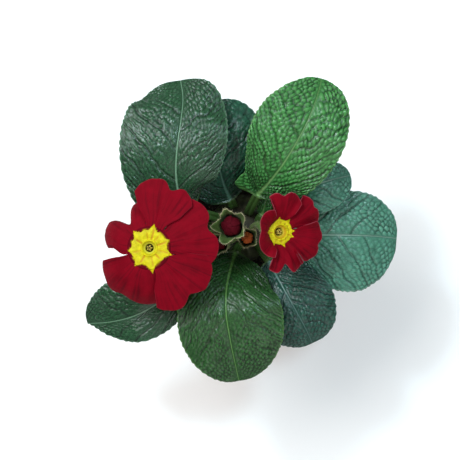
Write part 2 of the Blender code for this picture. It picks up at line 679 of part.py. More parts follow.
def make_petals(name, flower, finish):
    """The corolla in one piece: a tube, a small face round the throat and five notched petals."""
    size = flower["size"]
    count = PETAL_COLUMNS * len(flower["petals"])
    bearings = []
    for petal in flower["petals"]:
        for c in range(PETAL_COLUMNS):
            bearings.append(petal["first"] + (petal["last"] - petal["first"]) * c / PETAL_COLUMNS)
    tube = TUBE_RADIUS
    join = JOIN_RADIUS * size
    inner = tube - TUBE_WALL
    rings_up = [(inner, -TUBE_LENGTH + 1.5), (inner, -2.0), (inner + 0.5, dish(tube) - 0.2),
                ((join + inner) * 0.55, dish((join + inner) * 0.55)), (join, dish(join))]
    half_way = (join + tube) / 2
    rings_down = [(join, dish(join) - PETAL_THICK), (half_way, dish(half_way) - PETAL_THICK),
                  (tube, -2.6), (tube, -TUBE_LENGTH)]
    points = []
    for radius, height in rings_up + rings_down:
        for bearing in bearings:
            angle = math.radians(bearing)
            points.append((radius * math.cos(angle), radius * math.sin(angle), height))
    faces = []
    levels = len(rings_up) + len(rings_down)
    join_top, join_under = len(rings_up) - 1, len(rings_up)
    for r in range(levels - 1):
        if r == join_top:
            continue
        for s in range(count):
            a, b = r * count + s, r * count + (s + 1) % count
            faces += [(a, a + count, b + count), (a, b + count, b)]
    faces.append(tuple(range(count)))
    faces.append(tuple(reversed([(levels - 1) * count + s for s in range(count)])))
    for p, petal in enumerate(flower["petals"]):
        upper = [[join_top * count + (p * PETAL_COLUMNS + c) % count for c in range(PETAL_COLUMNS + 1)]]
        lower = [[join_under * count + (p * PETAL_COLUMNS + c) % count for c in range(PETAL_COLUMNS + 1)]]
        for r in range(1, PETAL_ROWS + 1):
            out = (r / PETAL_ROWS) ** 1.15
            for store, drop in ((upper, 0.0), (lower, PETAL_THICK)):
                store.append(list(range(len(points), len(points) + PETAL_COLUMNS + 1)))
                for c in range(PETAL_COLUMNS + 1):
                    x, y, z = petal_point(petal, size, 2 * c / PETAL_COLUMNS - 1, out)
                    points.append((x, y, z - drop))
        faces += strip_faces(upper, lower)
    return add_piece(name, placed(flower, points), faces, finish, 60)


def strip_faces(upper, lower):
    """Closed sheet faces between two grids of point numbers, open along their first row."""
    faces = []
    rows, columns = len(upper), len(upper[0])
    for r in range(rows - 1):
        for c in range(columns - 1):
            a, b, d, e = upper[r][c], upper[r][c + 1], upper[r + 1][c], upper[r + 1][c + 1]
            faces += [(a, d, e), (a, e, b)]
            a, b, d, e = lower[r][c], lower[r][c + 1], lower[r + 1][c], lower[r + 1][c + 1]
            faces += [(a, e, d), (a, b, e)]
        for c, turn in ((0, 1), (columns - 1, -1)):
            a, b, d, e = upper[r][c], lower[r][c], upper[r + 1][c], lower[r + 1][c]
            faces += [f[::turn] for f in ((a, b, e), (a, e, d))]
    for c in range(columns - 1):
        a, b, d, e = upper[-1][c], upper[-1][c + 1], lower[-1][c], lower[-1][c + 1]
        faces += [(a, d, e), (a, e, b)]
    return faces


def placed(flower, points):
    """Points of a flower's own upright frame, moved to where the flower is and how it leans."""
    turn = face_turn(flower["lean"], flower["lean_to"])
    middle = np.array(flower["face"])
    return [middle + turn @ np.array(p) for p in points]


def eye_rings(flower):
    """Radius of each point and height of the eye's four rings."""
    for from_tube, rise in EYE_RINGS:
        yield [TUBE_RADIUS + from_tube] * EYE_SIDES, rise
    edge = []
    for s in range(EYE_SIDES):
        spike = LONG_SPIKE if s % 4 == 0 else (SHORT_SPIKE if s % 2 else SPIKE_GAP)
        edge.append(min((EYE_RADIUS + spike) * flower["size"], flower["eye_reach"]))
    yield edge, 0.0


def make_eye(name, flower, finish):
    """The yellow star round the throat, lying just above the petals, with a raised inner ring."""
    points = []
    for lift, most_rise in ((EYE_LIFT + EYE_THICK, THROAT_RING), (EYE_LIFT, 0.1)):
        for radii, rise in eye_rings(flower):
            for s, radius in enumerate(radii):
                angle = math.tau * s / EYE_SIDES + math.radians(flower["eye_turn"])
                height = dish(radius) + lift + min(rise, most_rise)
                points.append((radius * math.cos(angle), radius * math.sin(angle), height))
    faces = []
    half = len(points) // 2
    for s in range(EYE_SIDES):
        t = (s + 1) % EYE_SIDES
        for first in range(0, half - EYE_SIDES, EYE_SIDES):
            a, b = first + s, first + t
            d, e = a + EYE_SIDES, b + EYE_SIDES
            faces += [(a, d, e), (a, e, b), (a + half, e + half, d + half), (a + half, b + half, e + half)]
        a, b = half - EYE_SIDES + s, half - EYE_SIDES + t
        faces += [(s, t, t + half), (s, t + half, s + half), (a, b + half, b), (a, a + half, b + half)]
    return add_piece(name, placed(flower, points), faces, finish, 60)


def make_anthers(name, flower, finish):
    """Five anthers standing together as a small lobed ring in the mouth of the tube."""
    points = []
    for height, outer in ANTHER_LEVELS:
        for s in range(ANTHER_SIDES):
            angle = math.tau * s / ANTHER_SIDES
            radius = outer * (1.0 if s % 3 else ANTHER_PARTING)
            points.append((radius * math.cos(angle), radius * math.sin(angle), height))
    faces = ring_faces(len(ANTHER_LEVELS), ANTHER_SIDES)
    return add_piece(name, placed(flower, points), faces, finish, 40)


def make_bud_petals(name, bud, axis, finish):
    """Furled petals: a pointed barrel with five spiral overlaps."""
    points = []
    foot = np.array(bud["tip"]) - axis * bud["petal_length"]
    for share, width in FURL_LEVELS:
        laps = [1.0 - FURL_LAP * (s % 3) * smoothstep(share / 0.4) for s in range(FURL_SIDES)]
        radii = [bud["girth"] * width * lap for lap in laps]
        points += ring(foot + axis * share * bud["petal_length"], axis, radii, turn=FURL_TWIST * share)
    return add_piece(name, points, ring_faces(len(FURL_LEVELS), FURL_SIDES), finish, 50)


def make_flower(name, flower, finishes):
    axis = face_turn(flower["lean"], flower["lean_to"]) @ UP
    floor = np.array(flower["face"]) - axis * (TUBE_LENGTH + 2 * CLEARANCE)
    make_stem(name + "_stem", flower, floor, axis, finishes["stem"])
    make_petals(name + "_petals", flower, finishes["petal"])
    make_eye(name + "_eye", flower, finishes["eye"])
    make_anthers(name + "_anthers", flower, finishes["anther"])


def make_bud(name, bud, finishes):
    lower = np.array(bud["stem"][-1], float)
    axis = unit(np.array(bud["tip"]) - lower)
    floor = np.array(bud["tip"]) - axis * (bud["petal_length"] + 2 * CLEARANCE)
    make_stem(name + "_stem", bud, floor, axis, finishes["stem"])
    make_bud_petals(name + "_petals", bud, axis, finishes["bud"])


def main():
    clear_scene()
    finishes = dict(
        stem=plain_material("hairy pale green stem", "#7E9A4A", 0.6),
        petal=plain_material("velvety crimson petal", "#8E0A1C", 0.55),
        bud=plain_material("furled dark crimson petal", "#6E1020", 0.55),
        eye=plain_material("yellow flower eye", "#E3CF1E", 0.5),
        anther=plain_material("ochre anther", "#B08A2A", 0.7),
    )
    make_pot(plain_material("moulded terracotta plastic", "#A0583A", 0.5))
    make_compost(plain_material("dark peaty compost", "#2E221A", 0.95))
    make_crown(plain_material("fibrous green brown rootstock", "#6B6A38", 0.8))
    for name, leaf in LEAVES.items():
        make_leaf(name, leaf, plain_material(name.replace("_", " ") + " green", "#3F6B35", 0.4))
    for name, flower in FLOWERS.items():
        make_flower(name, flower, finishes)
    for name, bud in BUDS.items():
        make_bud(name, bud, finishes)


main()
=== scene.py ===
import json
import math

import bpy
import numpy as np
from mathutils import Matrix, Vector

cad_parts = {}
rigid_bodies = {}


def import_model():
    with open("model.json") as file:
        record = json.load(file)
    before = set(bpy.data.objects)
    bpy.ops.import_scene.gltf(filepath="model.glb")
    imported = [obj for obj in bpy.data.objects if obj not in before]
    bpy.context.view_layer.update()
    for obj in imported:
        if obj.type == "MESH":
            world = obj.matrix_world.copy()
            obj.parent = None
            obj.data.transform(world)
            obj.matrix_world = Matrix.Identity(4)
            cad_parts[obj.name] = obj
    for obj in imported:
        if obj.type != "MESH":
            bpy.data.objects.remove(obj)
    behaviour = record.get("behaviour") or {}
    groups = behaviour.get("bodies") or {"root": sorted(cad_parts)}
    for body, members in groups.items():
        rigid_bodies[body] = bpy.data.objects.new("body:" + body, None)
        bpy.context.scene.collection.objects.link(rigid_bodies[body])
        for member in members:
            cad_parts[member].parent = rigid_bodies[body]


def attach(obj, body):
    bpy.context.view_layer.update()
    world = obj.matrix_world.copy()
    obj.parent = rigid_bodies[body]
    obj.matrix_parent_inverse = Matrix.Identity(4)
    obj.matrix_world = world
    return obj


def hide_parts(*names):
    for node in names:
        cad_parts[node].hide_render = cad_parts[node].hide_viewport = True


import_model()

# The potted primrose's living surfaces: quilted leaves with their vein net, velvet petals with
# their star eyes, hairy stems and calyces, crumbly peat and a moulded pot.  Tables are in
# millimetres, in the frame of the solids: origin under the pot, +Z up.

MM = 0.001
UP = np.array((0.0, 0.0, 1.0))
THREE_SIDES = (0.0, 2.094, 4.189)
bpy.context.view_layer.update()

# Seeded random values are drawn on a lattice this many cells wide, which repeats beyond it;
# no cell's middle is as far away as FAR_AWAY cells
LATTICE = 64
FAR_AWAY = 9.0

# Camera: 805 mm above the floor, looking straight down
CAMERA_AT = (-5.85, -0.9, 805.0)
FOCAL_PIXELS = 1555.6
PHOTO_PIXELS = 460

# Crown, as the solids have it, and its outline as (radius, height)
CROWN_TOP = 76.5
SOCKET_DEPTH = 8.0
CROWN_PROFILE = ((0, 50), (6, 50), (12.5, 58), (14.9, 66), (16.1, 72.5), (15.3, 75.5),
                 (8, 76.5), (0, 76.7))

# Leaves, as the solids have them
PETIOLE_HALF_WIDTH = 2.1
PETIOLE_DEPTH = 3.0
RIB_DEPTH_BASE = 2.2
RIB_DEPTH_TIP = 0.4
VEIN_SWEEP = 3.4
FULL_SIZE_HALF_WIDTH = 12.0
LEAST_SHARE = 0.6

# Leaf surface: its thickness, how high its quilt stands, how much the top of each quilted cell
# tilts, the side veins' angle to the midrib in degrees, how deep and half as wide they are, and the
# teeth of its margin.  Teeth and veins on one side are shifted so that they don't mirror the other
BLADE_THICK = 0.6
QUILT_HEIGHT = 1.05
CELL_LEAN = 0.3
VEIN_ANGLE = 50.0
VEIN_GROOVE = 0.6
VEIN_WOBBLE = 0.16
CELL_STRETCH = (0.35, 1.3)
RIB_HALF_WIDTH = (0.3, 1.15)
VEIN_HALF_WIDTH = 0.42
TOOTH_SPACING = 3.1
TOOTH_DEPTH = 0.55
OTHER_SIDE = 40.0

# Leaves.  Bearing and reach say where the stalk stands on the crown; the spine is the midrib, and
# the blade starts at its point blade_at.  Left and right are the half widths; full says how square
# each side's outline is (less is squarer) and widest where it is widest (less is nearer the tip).
# Fold lifts the halves, curl turns the margins down, wave and waves ripple them.  A lobe at the
# foot, which the solid hasn't, is (swell, where along the margin, how long, how far back)

LEAVES = {
    "leaf_1": dict(
        bearing=152, reach=7.2,
        spine=[(-14.0, 5.5, 93), (-22.5, 8.0, 102), (-28.2, 14.0, 107), (-30.0, 24.0, 111),
               (-29.4, 36.0, 113), (-27.8, 48.0, 111), (-27.0, 58.0, 107), (-28.2, 66.7, 102)],
        blade_at=1, left=26.0, right=21.8, full=(0.7, 0.86), widest=0.84,
        fold=0.16, curl=0.22, wave=0.9, waves=3.0, veins=9, finish="mature"),
    "leaf_2": dict(
        bearing=112, reach=10.8,
        spine=[(-5.5, 12.8, 85), (-9.0, 21.0, 93), (-11.5, 32.0, 99), (-13.0, 42.0, 100),
               (-14.5, 51.0, 97), (-16.5, 57.5, 93)],
        blade_at=0, left=18.0, right=23.5, full=(0.62, 1.05), widest=0.76,
        fold=0.1, curl=0.2, wave=0.8, waves=2.5, veins=9, finish="shaded"),
    "leaf_3": dict(
        bearing=70, reach=7.2,
        spine=[(6.5, 14.5, 96), (12.0, 21.0, 107), (18.5, 29.5, 115), (25.0, 40.5, 119),
               (30.0, 51.0, 119), (33.0, 59.5, 117), (35.0, 66.5, 113)],
        blade_at=0, left=22.0, right=20.0, full=(1.18, 1.08), widest=0.8,
        fold=0.12, curl=0.2, wave=0.9, waves=3.0, veins=10,
        lobe=(5.0, 0.06, 0.05, 5.0), finish="young"),
    "leaf_4": dict(
        bearing=36, reach=10.8,
        spine=[(16.0, 11.0, 90), (23.0, 15.0, 98), (32.0, 19.0, 102), (41.0, 22.0, 101),
               (49.0, 24.0, 96)],
        blade_at=0, left=10.5, right=13.0, full=(1.05, 0.9), widest=0.8,
        fold=0.1, curl=0.25, wave=0.6, waves=2.0, veins=8, finish="blue"),
    "leaf_5": dict(
        bearing=-6, reach=10.8,
        spine=[(18.0, -2.5, 84), (26.0, -3.0, 88), (37.0, -3.2, 91), (48.0, -3.3, 91),
               (58.0, -3.6, 89), (66.0, -4.2, 86), (71.5, -4.8, 83)],
        blade_at=0, left=20.5, right=26.0, full=(1.02, 0.86), widest=0.78,
        fold=0.08, curl=0.16, wave=0.8, waves=3.0, veins=10, finish="blue"),
    "leaf_6": dict(
        bearing=-48, reach=10.8,
        spine=[(12.0, -15.0, 86), (15.5, -22.0, 92), (20.5, -31.0, 96), (25.5, -40.0, 97),
               (29.5, -47.5, 94), (32.0, -53.0, 90)],
        blade_at=0, left=19.0, right=17.0, full=(0.95, 0.85), widest=0.8,
        fold=0.1, curl=0.2, wave=0.8, waves=2.5, veins=9, finish="deep"),
    "leaf_7": dict(
        bearing=-98, reach=7.2,
        spine=[(-3.2, -11.0, 86), (-5.4, -18.0, 97), (-7.4, -27.0, 106), (-7.6, -38.0, 110),
               (-5.8, -50.0, 108), (-3.6, -61.0, 103), (-1.8, -69.5, 97)],
        blade_at=0, left=25.4, right=22.2, full=(0.98, 1.1), widest=0.8,
        fold=0.14, curl=0.22, wave=0.9, waves=3.0, veins=11, finish="front"),
    "leaf_8": dict(
        bearing=214, reach=10.8,
        spine=[(-17.0, -14.0, 85), (-25.0, -22.5, 91), (-36.0, -32.5, 95), (-48.0, -39.5, 95),
               (-60.0, -43.0, 90), (-72.0, -44.4, 82)],
        blade_at=0, left=13.0, right=20.0, full=(3.0, 0.85), widest=0.9,
        fold=0.3, curl=0.3, wave=1.0, waves=3.5, veins=10, finish="mature"),
    "leaf_9": dict(
        bearing=19, reach=7.4,
        spine=[(8.8, 5.8, 83), (9.6, 8.4, 87), (10.4, 10.8, 89.5), (11.0, 13.2, 90.5)],
        blade_at=0, left=3.2, right=3.2, full=(0.85, 0.85), widest=0.7,
        fold=0.35, curl=0.2, wave=0.2, waves=1.5, veins=5, finish="young"),
    "leaf_10": dict(
        bearing=181, reach=10.8,
        spine=[(-19.0, 1.5, 83), (-26.0, 2.0, 86), (-35.0, 1.5, 88), (-44.0, 0.0, 87),
               (-51.0, -2.0, 84)],
        blade_at=0, left=9.0, right=12.0, full=(0.8, 0.8), widest=0.8,
        fold=0.12, curl=0.2, wave=0.6, waves=2.0, veins=7, finish="shaded"),
}

# Flowers, as the solids have them.  Petals run from their first bearing to their last in degrees,
# and slope says how steeply they fall near the eye and at their end, less than 0 where they rise.
# Layers lift (1) or lower (-1) each side edge, where petals lap.
# Added here: star is how far the yellow reaches and spikes are its long points (bearing, reach);
# rim is how pale the petals' edges are and warm how orange the throat's ring is; spread says how
# much of the overlap each side edge takes, less than 0 leaving a gap, and rolled how far it rises.
# Stronger than in the solids, so that they show from above: the notches of flower_1's second petal
# and flower_2's third, and the folds of flower_2's petals
STEM_RADIUS = 1.5
CALYX_WALL = 0.75
CUP_FLOOR = 2.2
FURL_TWIST = 50.0
TUBE_RADIUS = 2.5
TUBE_WALL = 0.7
TUBE_LENGTH = 13.0
PETAL_THICK = 0.6
JOIN_RADIUS = 9.4
SLIT = 0.9
LAYER_STEP = 0.62
CORNER_DROP = 0.16
NOTCH_WIDTH = 0.2
SLIT_END = 0.14
OVERLAP = 7.0
SPREAD_START = 0.08
SPREAD_LENGTH = 0.5
PETAL_STEPS = 10
THROAT_RING = 0.8
THROAT_EDGE = 2.45
SPIKE_FOOT = 0.6
SPIKE_WIDTH = 0.16
CREASE_DEPTH = 0.45
FURROW_DEPTH = 0.16
LIMPNESS = 0.5
RIM_START = 0.955
CUP_ROWS = 26
HAIRS = 520
FURL_LEVELS = ((0.0, 0.5), (0.2, 0.72), (0.45, 1.0), (0.7, 0.92), (0.88, 0.62), (1.0, 0.24))

FLOWERS = {
    "flower_1": dict(
        face=(-41.3, -8.8, 124.0), lean=4.0, lean_to=180.0,
        bearing=185, reach=4.7, size=1.0, eye_turn=4.0,
        stem=[(-9.0, -1.0, 92), (-22.0, -4.5, 101), (-34.0, -7.8, 102.5)],
        calyx=(4.6, 8.6, 1.2, 3.0), star=7.7, rim=0.45, warm=0.0,
        spikes=[(77.8, 10.8), (21.6, 9.8), (-16.8, 10.7), (-81.9, 11.3), (231.5, 10.2),
                (188.4, 9.4), (132.9, 10.3)],
        petals=[
            dict(first=51, last=98, length=31.0, slope=(3, 10), notch=4.0, notch_at=-0.18,
                 layers=(1, 1), fold=0.8),
            dict(first=98, last=196, length=27.5, slope=(4, 76), notch=12.0, notch_at=-0.3,
                 layers=(-1, -1), fold=1.2, spread=(1.0, -2.2)),
            dict(first=196, last=284, length=29.2, slope=(4, 58), notch=1.6, notch_at=0.0,
                 layers=(1, -1), fold=1.0, spread=(0.2, 1.0)),
            dict(first=284, last=346, length=31.0, slope=(2, 16), notch=3.6, notch_at=-0.1,
                 layers=(1, 1), fold=0.9),
            dict(first=346, last=411, length=31.0, slope=(2, 16), notch=3.6, notch_at=0.0,
                 layers=(-1, -1), fold=0.9),
        ]),
    "flower_2": dict(
        face=(16.5, -1.8, 117.0), lean=24.0, lean_to=-10.0,
        bearing=0, reach=4.7, size=0.62, eye_turn=12.0,
        stem=[(6.8, 1.6, 87)],
        calyx=(4.6, 8.6, 1.3, 3.4), star=5.4, rim=1.0, warm=0.9,
        spikes=[(180, 7.4), (96.8, 6.8), (51.9, 7.3), (3.8, 6.8), (-19.4, 6.8), (-74.4, 7.0),
                (235.9, 7.0)],
        petals=[
            dict(first=58, last=118, length=19.3, slope=(-44, 6), notch=2.2, notch_at=0.1,
                 layers=(1, -1), fold=2.2, rolled=(0.6, 2.2), spread=(0.6, 0.6)),
            dict(first=118, last=248, length=16.0, slope=(-62, -14), notch=2.4, notch_at=-0.1,
                 layers=(1, 1), fold=2.6, rolled=(1.4, 1.2), spread=(0.6, 0.2)),
            dict(first=244, last=312, length=19.8, slope=(-46, 8), notch=5.0, notch_at=-0.1,
                 layers=(-1, 1), fold=3.2, rolled=(1.6, 2.6), spread=(0.6, 0.0)),
            dict(first=312, last=372, length=21.3, slope=(-28, 20), notch=1.8, notch_at=0.0,
                 layers=(-1, 1), fold=2.0, rolled=(0.8, 0.6), spread=(0.4, 0.8)),
            dict(first=372, last=418, length=21.3, slope=(-24, 18), notch=1.6, notch_at=0.0,
                 layers=(-1, -1), fold=2.4, rolled=(0.4, 1.6), spread=(0.8, 0.6)),
        ]),
}

# Buds, as the solids have them, but of a little more girth: here the laps between petals cut in
BUDS = {
    "bud_1": dict(tip=(-6.3, 0.9, 113.0), bearing=90, reach=0.4, stem=[(-1.5, 0.8, 89)],
                  girth=4.8, petal_length=9.5, calyx=(5.9, 7.2, 1.35, 5.0), hairs=900,
                  finish="bud"),
    "bud_2": dict(tip=(2.0, -4.4, 101.0), bearing=-62, reach=4.8, stem=[(2.0, -4.8, 84)],
                  girth=2.9, petal_length=7.0, calyx=(4.0, 5.6, 1.15, 3.6), finish="orange_bud"),
    "bud_3": dict(tip=(-11.4, -7.4, 101.0), bearing=240, reach=4.8, stem=[(-5.6, -5.6, 84)],
                  girth=2.9, petal_length=6.6, calyx=(4.0, 5.4, 1.2, 3.4), finish="bud"),
}

# Pot, as the solids have it, turned finer
POT_HEIGHT = 80.0
POT_TOP_RADIUS = 43.6
POT_BASE_RADIUS = 33.0
POT_WALL = 1.3
RIM_HEIGHT = 9.0
RIM_OVERHANG = 1.6
POT_SIDES = 144
DRAIN_HOLES = 8
DRAIN_RADIUS = 3.0
DRAIN_CIRCLE = 21.0
POT_FLOOR = 1.6
POT_EDGE = 0.7

# Underside of the pot: a flat disc, a raised channel with the drain holes, and the foot ring
DISC_RADIUS = 14.0
CHANNEL_INNER = 15.5
CHANNEL_OUTER = 26.5
CHANNEL_HEIGHT = 2.0
FOOT_INNER = 28.0

# Light: near-white softboxes, and cool daylight from the windows
SOFTBOX_TINT = (1.0, 0.99, 0.97)
WINDOW_TINT = (0.66, 0.88, 1.0)

# Compost: where it starts and ends, the pit that the crown stands in as (radius, height), and the
# loose crumbs and fibres that lie on it
COMPOST_LOW = 3.9
COMPOST_EDGE = 69.6
COMPOST_TOP = 71.0
COMPOST_GAP = 0.5
CROWN_PIT = ((15.0, 69.0), (13.0, 60.0), (7.0, 49.0), (0, 49.0))
CRUMBS = 900
FIBRES = 160

# Rows of quilted cells between two side veins of each kind of leaf, and the cells' length
CELLS = dict(young=(3, 1.8), mature=(4, 1.5), front=(4, 1.6), blue=(3, 2.0), deep=(3, 1.7),
             shaded=(3, 1.7))

# How strongly each kind of leaf is quilted: youngest most, oldest least
QUILT_STRENGTH = dict(young=1.35, mature=0.8, front=0.95, blue=0.7, deep=0.95, shaded=0.95)

# How pale each kind's side veins are, and how glossy leaves are, from their dullest patch
VEIN_PALENESS = dict(young=0.3, mature=0.5, front=0.5, blue=0.4, deep=0.35, shaded=0.35)
LEAF_GLOSS = (0.22, 0.4)

# Upper side, lower side, veins, and the painted shade of the quilt's hollows, of each kind of leaf
LEAF_COLOURS = {
    "young": ("#3C7C3C", "#7FA068", "#84B06A", "#0C3A12"),
    "mature": ("#1F482A", "#5F8062", "#7DA585", "#081C0E"),
    "front": ("#254F24", "#64864E", "#6A9A50", "#0A220C"),
    "blue": ("#48806A", "#6F9078", "#93B2A2", "#184032"),
    "deep": ("#1C483A", "#5F8070", "#6A8F84", "#08201A"),
    "shaded": ("#1E503A", "#5F8066", "#5F8876", "#082418"),
}


def linear(channel):
    """One channel of an sRGB colour, as linear light."""
    return channel / 12.92 if channel <= 0.04045 else ((channel + 0.055) / 1.055) ** 2.4


def colour(hex_colour):
    """An sRGB hex colour, as the linear colour that a socket takes."""
    return tuple(linear(int(hex_colour[i:i + 2], 16) / 255) for i in (1, 3, 5)) + (1.0,)


def unit(vector):
    """The same directions, one long."""
    return vector / np.linalg.norm(vector, axis=-1, keepdims=True)


def smoothstep(value):
    """0 below 0 and 1 above 1, with an easy rise between them."""
    value = np.clip(value, 0.0, 1.0)
    return value * value * (3 - 2 * value)


# Meshes

def piece_from(name, points, faces, finish, node, attributes=None, smooth=True):
    """One finished piece of the plant that stands for a solid of the frame."""
    mesh = bpy.data.meshes.new(name)
    mesh.from_pydata((np.asarray(points) * MM).tolist(), [], faces)
    mesh.validate()
    if smooth:
        mesh.shade_smooth()
    for key, values in (attributes or {}).items():
        layer = mesh.attributes.new(key, "FLOAT", "POINT")
        layer.data.foreach_set("value", np.asarray(values, np.float32).ravel())
    mesh.materials.append(finish)
    piece = bpy.data.objects.new(name, mesh)
    bpy.context.scene.collection.objects.link(piece)
    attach(piece, "root")
    if node:
        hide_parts(node)
    return piece


def grid_faces(rows, columns, first=0, flip=False, wrap=False):
    """Quads over a grid of points numbered row by row."""
    faces = []
    for r in range(rows - 1):
        for c in range(columns if wrap else columns - 1):
            d = (c + 1) % columns
            a, b = first + r * columns + c, first + r * columns + d
            face = (a, b, b + columns, a + columns)
            faces.append(face[::-1] if flip else face)
    return faces


def lattice_noise(x, y, seed):
    """Smooth noise between -1 and 1 from a seeded lattice of random values."""
    table = np.random.default_rng(seed).uniform(-1, 1, (LATTICE, LATTICE))
    xi, yi = np.floor(x).astype(int), np.floor(y).astype(int)
    fx, fy = smoothstep(x - xi), smoothstep(y - yi)

    def corner(i, j):
        return table[(xi + i) % LATTICE, (yi + j) % LATTICE]

    low = corner(0, 0) * (1 - fx) + corner(1, 0) * fx
    high = corner(0, 1) * (1 - fx) + corner(1, 1) * fx
    return low * (1 - fy) + high * fy


def cells(x, y, stretch, seed):
    """How far each point is from its cell's border, the cell's tone, and how its top leans."""
    rng = np.random.default_rng(seed)
    shift_x = rng.uniform(0.2, 0.8, (LATTICE, LATTICE))
    shift_y = rng.uniform(0.15, 0.85, (LATTICE, LATTICE))
    tones = rng.uniform(0, 1, (LATTICE, LATTICE))
    lean_x, lean_y = rng.normal(0, 1, (2, LATTICE, LATTICE))
    xi, yi = np.floor(x).astype(int), np.floor(y).astype(int)
    near, second = np.full(x.shape, FAR_AWAY), np.full(x.shape, FAR_AWAY)
    tone, lean = np.zeros(x.shape), np.zeros(x.shape)
    for i in (-1, 0, 1):
        for j in (-1, 0, 1):
            cx, cy = (xi + i) % LATTICE, (yi + j) % LATTICE
            dx = (xi + i + shift_x[cx, cy] - x) * stretch
            dy = yi + j + shift_y[cx, cy] - y
            gap = np.hypot(dx, dy)
            closer = gap < near
            second = np.where(closer, near, np.minimum(second, gap))
            tone = np.where(closer, tones[cx, cy], tone)
            lean = np.where(closer, dx * lean_x[cx, cy] + dy * lean_y[cx, cy], lean)
            near = np.where(closer, gap, near)
    return second - near, tone, lean


def end_caps(rows, sides):
    """The two faces that close a stack of rings."""
    last = (rows - 1) * sides
    return [tuple(range(sides))[::-1], tuple(last + s for s in range(sides))]


def ring(place, radius, angle, across, beside):
    """Points round a place, in the plane of two directions."""
    return (place + np.outer(radius * np.cos(angle), across)
            + np.outer(radius * np.sin(angle), beside))


# Spines

class Spine:
    """The smooth line that a leaf or stem follows, measured along its length."""

    STEPS = 12

    def __init__(self, points, side):
        knots = [np.array(p, float) for p in points]
        self.side = np.array(side, float)
        line = [knots[0]]
        for i in range(1, len(knots) - 1):
            start, end = knots[i], knots[i + 1]
            before = knots[i - 1]
            if i == 1:
                before = start - unit(knots[1] - knots[0]) * np.linalg.norm(end - start)
            after = knots[i + 2] if i + 2 < len(knots) else 2 * end - start
            for step in range(self.STEPS):
                line.append(self.between(before, start, end, after, step / self.STEPS))
        line.append(knots[-1])
        self.line = np.array(line)
        gaps = np.linalg.norm(np.diff(self.line, axis=0), axis=1)
        self.lengths = np.concatenate(([0.0], np.cumsum(gaps)))
        self.total = self.lengths[-1]
        self.knots = [0.0] + [self.lengths[1 + i * self.STEPS] for i in range(len(knots) - 1)]

    @staticmethod
    def between(before, start, end, after, t):
        """A point between start and end, on a smooth curve through all four."""
        return 0.5 * (2 * start + (end - before) * t
                      + (2 * before - 5 * start + 4 * end - after) * t * t
                      + (3 * start - before - 3 * end + after) * t ** 3)

    def place(self, length):
        """The point at each length along the line."""
        return np.stack([np.interp(length, self.lengths, self.line[:, k]) for k in range(3)], -1)

    def at(self, length):
        """Points, and which way is forward, left and up there."""
        length = np.asarray(length, float)
        forward = unit(self.place(length + 0.8) - self.place(length - 0.8))
        left = np.cross(UP, forward) + 0.15 * self.side
        left = unit(left - forward * np.sum(forward * left, -1, keepdims=True))
        return self.place(length), forward, left, np.cross(forward, left)


def on_crown(bearing, reach, height):
    """A point of the crown at a bearing in degrees."""
    angle = math.radians(bearing)
    return (reach * math.cos(angle), reach * math.sin(angle), height)


def bearing_side(bearing):
    """The direction that is left of a bearing."""
    angle = math.radians(bearing)
    return (-math.sin(angle), math.cos(angle), 0.0)


def spine_from_crown(plant, points, side):
    """The spine of a stalk or stem, from its socket in the crown."""
    socket = on_crown(plant["bearing"], plant["reach"], CROWN_TOP - SOCKET_DEPTH + 1.0)
    clear_of_crown = on_crown(plant["bearing"], plant["reach"], CROWN_TOP + 2.0)
    return Spine([socket, clear_of_crown] + points, side)


# Leaves

def leaf_surface(leaf, spine, start, along, across):
    """The leaf's middle surface, and which way is up there."""
    point, forward, left, up = spine.at(along)
    half = np.where(across > 0, leaf["left"], leaf["right"])
    out = np.abs(across) / half
    share = (along - start) / (spine.total - start)
    phase = math.tau * leaf["waves"] * share + np.where(across > 0, 0.0, 2.0)
    lift = half * (leaf["fold"] * out - leaf["curl"] * out ** 2)
    lift = lift + leaf["wave"] * out ** 2 * np.sin(phase)
    lift = lift * smoothstep((along - start) / 8.0)
    return point + left * across[..., None] + up * lift[..., None], up


def quilt(leaf, seed, order, run, pitch, across, share, edge):
    """The raised cells between the veins, as height in mm, with how much of a vein each point is.

    Order counts the side veins, run is the distance along them and pitch the distance between them.
    """
    away = np.abs(across)
    rows_of_cells, length_of_cells = CELLS[leaf["finish"]]
    wobble = VEIN_WOBBLE * lattice_noise(order * 1.3, run / 5.0, seed + 5)
    numbered = order + wobble * smoothstep(away / 6.0)
    stretch = np.clip(pitch / rows_of_cells / length_of_cells, *CELL_STRETCH)
    border, tone, lean = cells(rows_of_cells * numbered, run / length_of_cells, stretch, seed)
    dome = smoothstep(border / 0.75) ** 0.7
    near_tip = smoothstep((1 - share) / 0.2)
    from_lateral = np.abs(numbered - np.round(numbered)) * pitch
    lateral = np.exp(-(from_lateral / VEIN_HALF_WIDTH) ** 2) * (1 - 0.5 * edge) * near_tip
    rib_width = RIB_HALF_WIDTH[1] * (1 - share) ** 1.2 + RIB_HALF_WIDTH[0]
    rib = np.exp(-(across / rib_width) ** 2)
    strength = 0.8 + 0.45 * lattice_noise(order * 0.7, run / 9.0, seed + 9)
    height = strength * (dome - 0.45) * (0.6 + 0.8 * tone) + CELL_LEAN * lean * dome
    height = QUILT_HEIGHT * height * QUILT_STRENGTH[leaf["finish"]]
    height = height * (0.6 + 0.4 * smoothstep(edge / 0.4))
    height = height * (1 - rib) * smoothstep(away / 2.0)
    height = height - VEIN_GROOVE * lateral * (1 - rib) - 0.35 * rib
    net = (1 - dome) ** 2 * 0.4
    vein = np.maximum(np.maximum(lateral * 0.75, rib), net)
    return height, vein, rib


